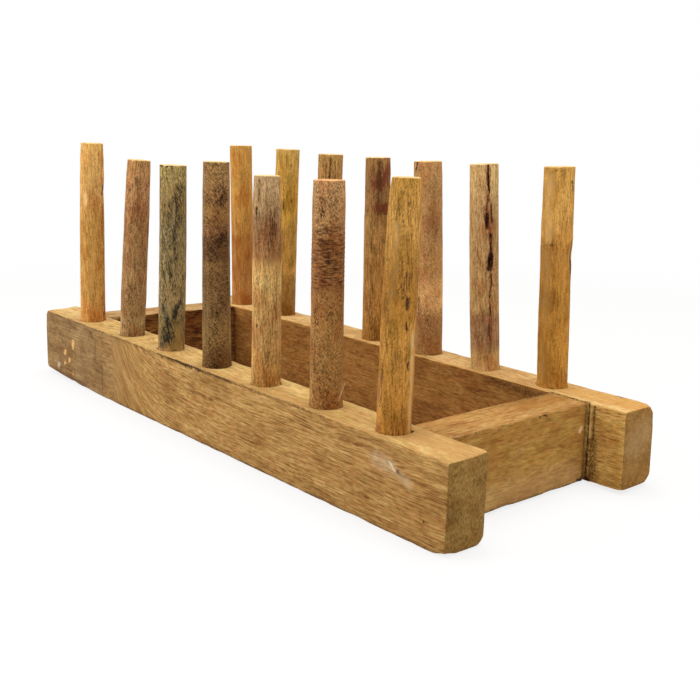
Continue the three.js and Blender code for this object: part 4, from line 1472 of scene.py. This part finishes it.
def addSplinter(bm, splinter, radius, upright, foot, seat):
    # a torn sliver that stands off the peg, given by its two ends and its half thickness
    (angleA, heightA), (angleB, heightB), thick = splinter
    sliver = bmesh.new()
    bmesh.ops.create_cone(sliver, cap_ends=True, segments=pegShape["sliverSides"], radius1=1,
                          radius2=pegShape["sliverTip"], depth=1)
    lengthwise = [e for e in sliver.edges if abs(e.verts[0].co.z - e.verts[1].co.z) > 0.5]
    bmesh.ops.subdivide_edges(sliver, edges=lengthwise, cuts=pegShape["sliverCuts"])
    least, rise = pegShape["sliverLift"]
    for v in sliver.verts:
        share = v.co.z + 0.5
        turned = math.radians(angleB + (angleA - angleB) * share)
        outward = Vector((math.cos(turned), math.sin(turned), 0))
        sideways = Vector((-math.sin(turned), math.cos(turned), 0))
        lift = least * thick + rise * share * share
        place = outward * (radius + lift + v.co.x * thick) + sideways * v.co.y * thick
        place.z = seat + heightB + (heightA - heightB) * share
        v.co = foot + upright @ place
    mesh = bpy.data.meshes.new("sliver")
    sliver.to_mesh(mesh)
    sliver.free()
    bm.from_mesh(mesh)
    bpy.data.meshes.remove(mesh)


def makePeg(node, spec, seed):
    foot, tip, footRadius = axes[node]
    mouth, way = onRailTop(node)
    length = (tip - foot).length
    seat = (mouth - foot).length  # how much of it stands in the rail
    tipHeight = length - seat
    rand = random.Random(seed)
    cuts = knifeCuts(rand, tipHeight)
    bowAngle = rand.uniform(0, 2 * math.pi)
    oval = rand.uniform(*pegShape["oval"])
    bm = bmesh.new()
    bmesh.ops.create_cone(bm, cap_ends=True, segments=pegShape["sides"], radius1=1, radius2=1, depth=1)
    lengthwise = [e for e in bm.edges if abs(e.verts[0].co.z - e.verts[1].co.z) > 0.5]
    bmesh.ops.subdivide_edges(bm, edges=lengthwise, cuts=pegShape["rings"])
    for cap in [f for f in bm.faces if len(f.verts) > 4]:
        inner = [cap]
        for _ in range(pegShape["capRings"]):
            bmesh.ops.inset_region(bm, faces=inner, thickness=1 / (pegShape["capRings"] + 1))
        bmesh.ops.poke(bm, faces=inner)
    upright = Vector((0, 0, 1)).rotation_difference(way)
    for v in bm.verts:
        share = min(math.hypot(v.co.x, v.co.y), 1)
        angle = math.degrees(math.atan2(v.co.y, v.co.x))
        turned = math.radians(angle)
        height = (v.co.z + 0.5) * length - seat
        radius = pegRadius(spec, angle, height, footRadius, cuts, seed)
        radius += oval * math.cos(2 * (turned - bowAngle)) * smooth(0, 15, height)
        bend = pegShape["bow"] * math.sin(math.pi * min(max(height / tipHeight, 0), 1))
        place = Vector((
            radius * share * math.cos(turned) + bend * math.cos(bowAngle),
            radius * share * math.sin(turned) + bend * math.sin(bowAngle),
            height + seat,
        ))
        if v.co.z > 0.499:
            # saw marks across the top and small chips out of its rim
            chip = max(0, wander(math.cos(turned) * 2, math.sin(turned) * 2, seed, seed + 5) - 0.1)
            place.z -= pegShape["chipDepth"] * chip * smooth(0.75, 1, share)
            place.z -= pegShape["sawDepth"] * (1 + wander(place.x / 2, place.y / 5, seed, seed))
        v.co = foot + upright @ place
    bm.normal_update()
    rim = [e for e in bm.edges if len(e.link_faces) == 2
           and sum(abs(f.normal.dot(way)) > 0.7 for f in e.link_faces) == 1]
    bmesh.ops.bevel(bm, geom=rim, offset=pegShape["rimEase"], segments=2, profile=0.5,
                    affect="EDGES", material=-1)
    if "splinter" in spec:
        addSplinter(bm, spec["splinter"], footRadius, upright, foot, seat)
    markPeg(bm, spec, upright, foot, seat, tipHeight, seed)
    look = dict(plainLook, **spec["look"])
    material = whittledWood("whittled" + node.title().replace("_", ""), look)
    finishPiece(f"{node}_whittled", bm, material, node)


for number, (node, spec) in enumerate(pegs.items()):
    makePeg(node, spec, seed=11 + number)
print("pegs made")


# Wire nail, drawn steel with a dull grey skin that dims its reflections.
def nailSteel():
    material, tree = newMaterial("dullNailSteel")
    place = addNode(tree, "TexCoord")
    drawn = addNode(tree, "Mapping", None, {
        "Vector": place.outputs["Object"], "Scale": (1 / (0.6 * mm), 1 / (4 * mm), 1 / (0.6 * mm))})
    skin = addNode(tree, "TexNoise", None, {"Vector": drawn, "Scale": 1.0, "Detail": 3.0})
    tone = addNode(tree, "ValToRGB", {"stops": [(0.35, "5c5a57"), (0.65, "86837e")]}, {0: skin})
    rough = addNode(tree, "MapRange", None, {0: skin, 3: 0.35, 4: 0.6})
    shader = addNode(tree, "BsdfPrincipled", None, {
        "Base Color": tone.outputs[0], "Metallic": 1.0, "Roughness": rough})
    addNode(tree, "OutputMaterial", None, {0: shader})
    return material


steel = nailSteel()
for name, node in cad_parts.items():
    if name.endswith("_nail"):
        node.data.materials.clear()
        node.data.materials.append(steel)
print("nails dressed")


# Wood filler: sawdust and glue, knifed flat over a punched nail head and sanded with the
# board; close to the board's colour, but chalky and without grain.
def woodFiller():
    material, tree = newMaterial("knifedWoodFiller")
    place = addNode(tree, "TexCoord")
    inGrit = addNode(tree, "Mapping", None, {
        "Vector": place.outputs["Object"], "Scale": (1 / (0.8 * mm),) * 3})
    grit = addNode(tree, "TexNoise", None, {"Vector": inGrit, "Scale": 1.0, "Detail": 4.0})
    tone = addNode(tree, "ValToRGB", {
        "stops": [(0.35, "8e6838"), (0.5, "a88048"), (0.65, "ba9056")]}, {0: grit})
    bump = addNode(tree, "Bump", None, {"Strength": 0.4, "Distance": 0.2 * mm, "Height": grit})
    shader = addNode(tree, "BsdfPrincipled", None, {
        "Base Color": tone.outputs[0], "Roughness": 0.85, "Specular IOR Level": 0.2, "Normal": bump})
    addNode(tree, "OutputMaterial", None, {0: shader})
    return material


plugs = {
    "radius": 2.1,
    "raggedness": 0.35,
    "proud": 0.05,  # how far inside the rail's nominal face the plug ends
    "thick": 1.6,
    "rim": 0.3,
    "crown": (0.05, 0.05, -0.04, -0.04),  # how far each step in from the rim rises or falls
}


def makePlug(node, spec, seed, material):
    low, high = boxInMm(node)
    middle = (low + high) / 2
    outward = -1 if middle.y < 0 else 1
    face = (low.y if outward < 0 else high.y) - outward * spec["proud"]
    bm = bmesh.new()
    bmesh.ops.create_circle(bm, cap_ends=True, segments=40, radius=spec["radius"])
    for v in bm.verts:
        v.co *= 1 + spec["raggedness"] * wander(v.co.x / 2, v.co.y / 2, seed, seed)
    pushed = bmesh.ops.extrude_face_region(bm, geom=bm.faces[:])
    moved = [v for v in pushed["geom"] if isinstance(v, bmesh.types.BMVert)]
    bmesh.ops.translate(bm, vec=(0, 0, spec["thick"]), verts=moved)
    crown = [f for f in pushed["geom"] if isinstance(f, bmesh.types.BMFace)]
    for rise in spec["crown"]:
        bmesh.ops.inset_region(bm, faces=crown, thickness=spec["rim"], depth=rise)
    turn = Matrix.Rotation(math.radians(90 if outward < 0 else -90), 4, "X")
    bmesh.ops.transform(bm, matrix=turn, verts=bm.verts)
    reach = max(v.co.y * outward for v in bm.verts)
    bmesh.ops.translate(bm, vec=(middle.x, face - outward * reach, middle.z), verts=bm.verts)
    finishPiece(f"{node}_plug", bm, material, node)


filler = woodFiller()
fillerNodes = sorted(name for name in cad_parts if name.endswith("_filler"))
for seed, node in enumerate(fillerNodes):
    makePlug(node, plugs, seed, filler)
print("filler knifed in")
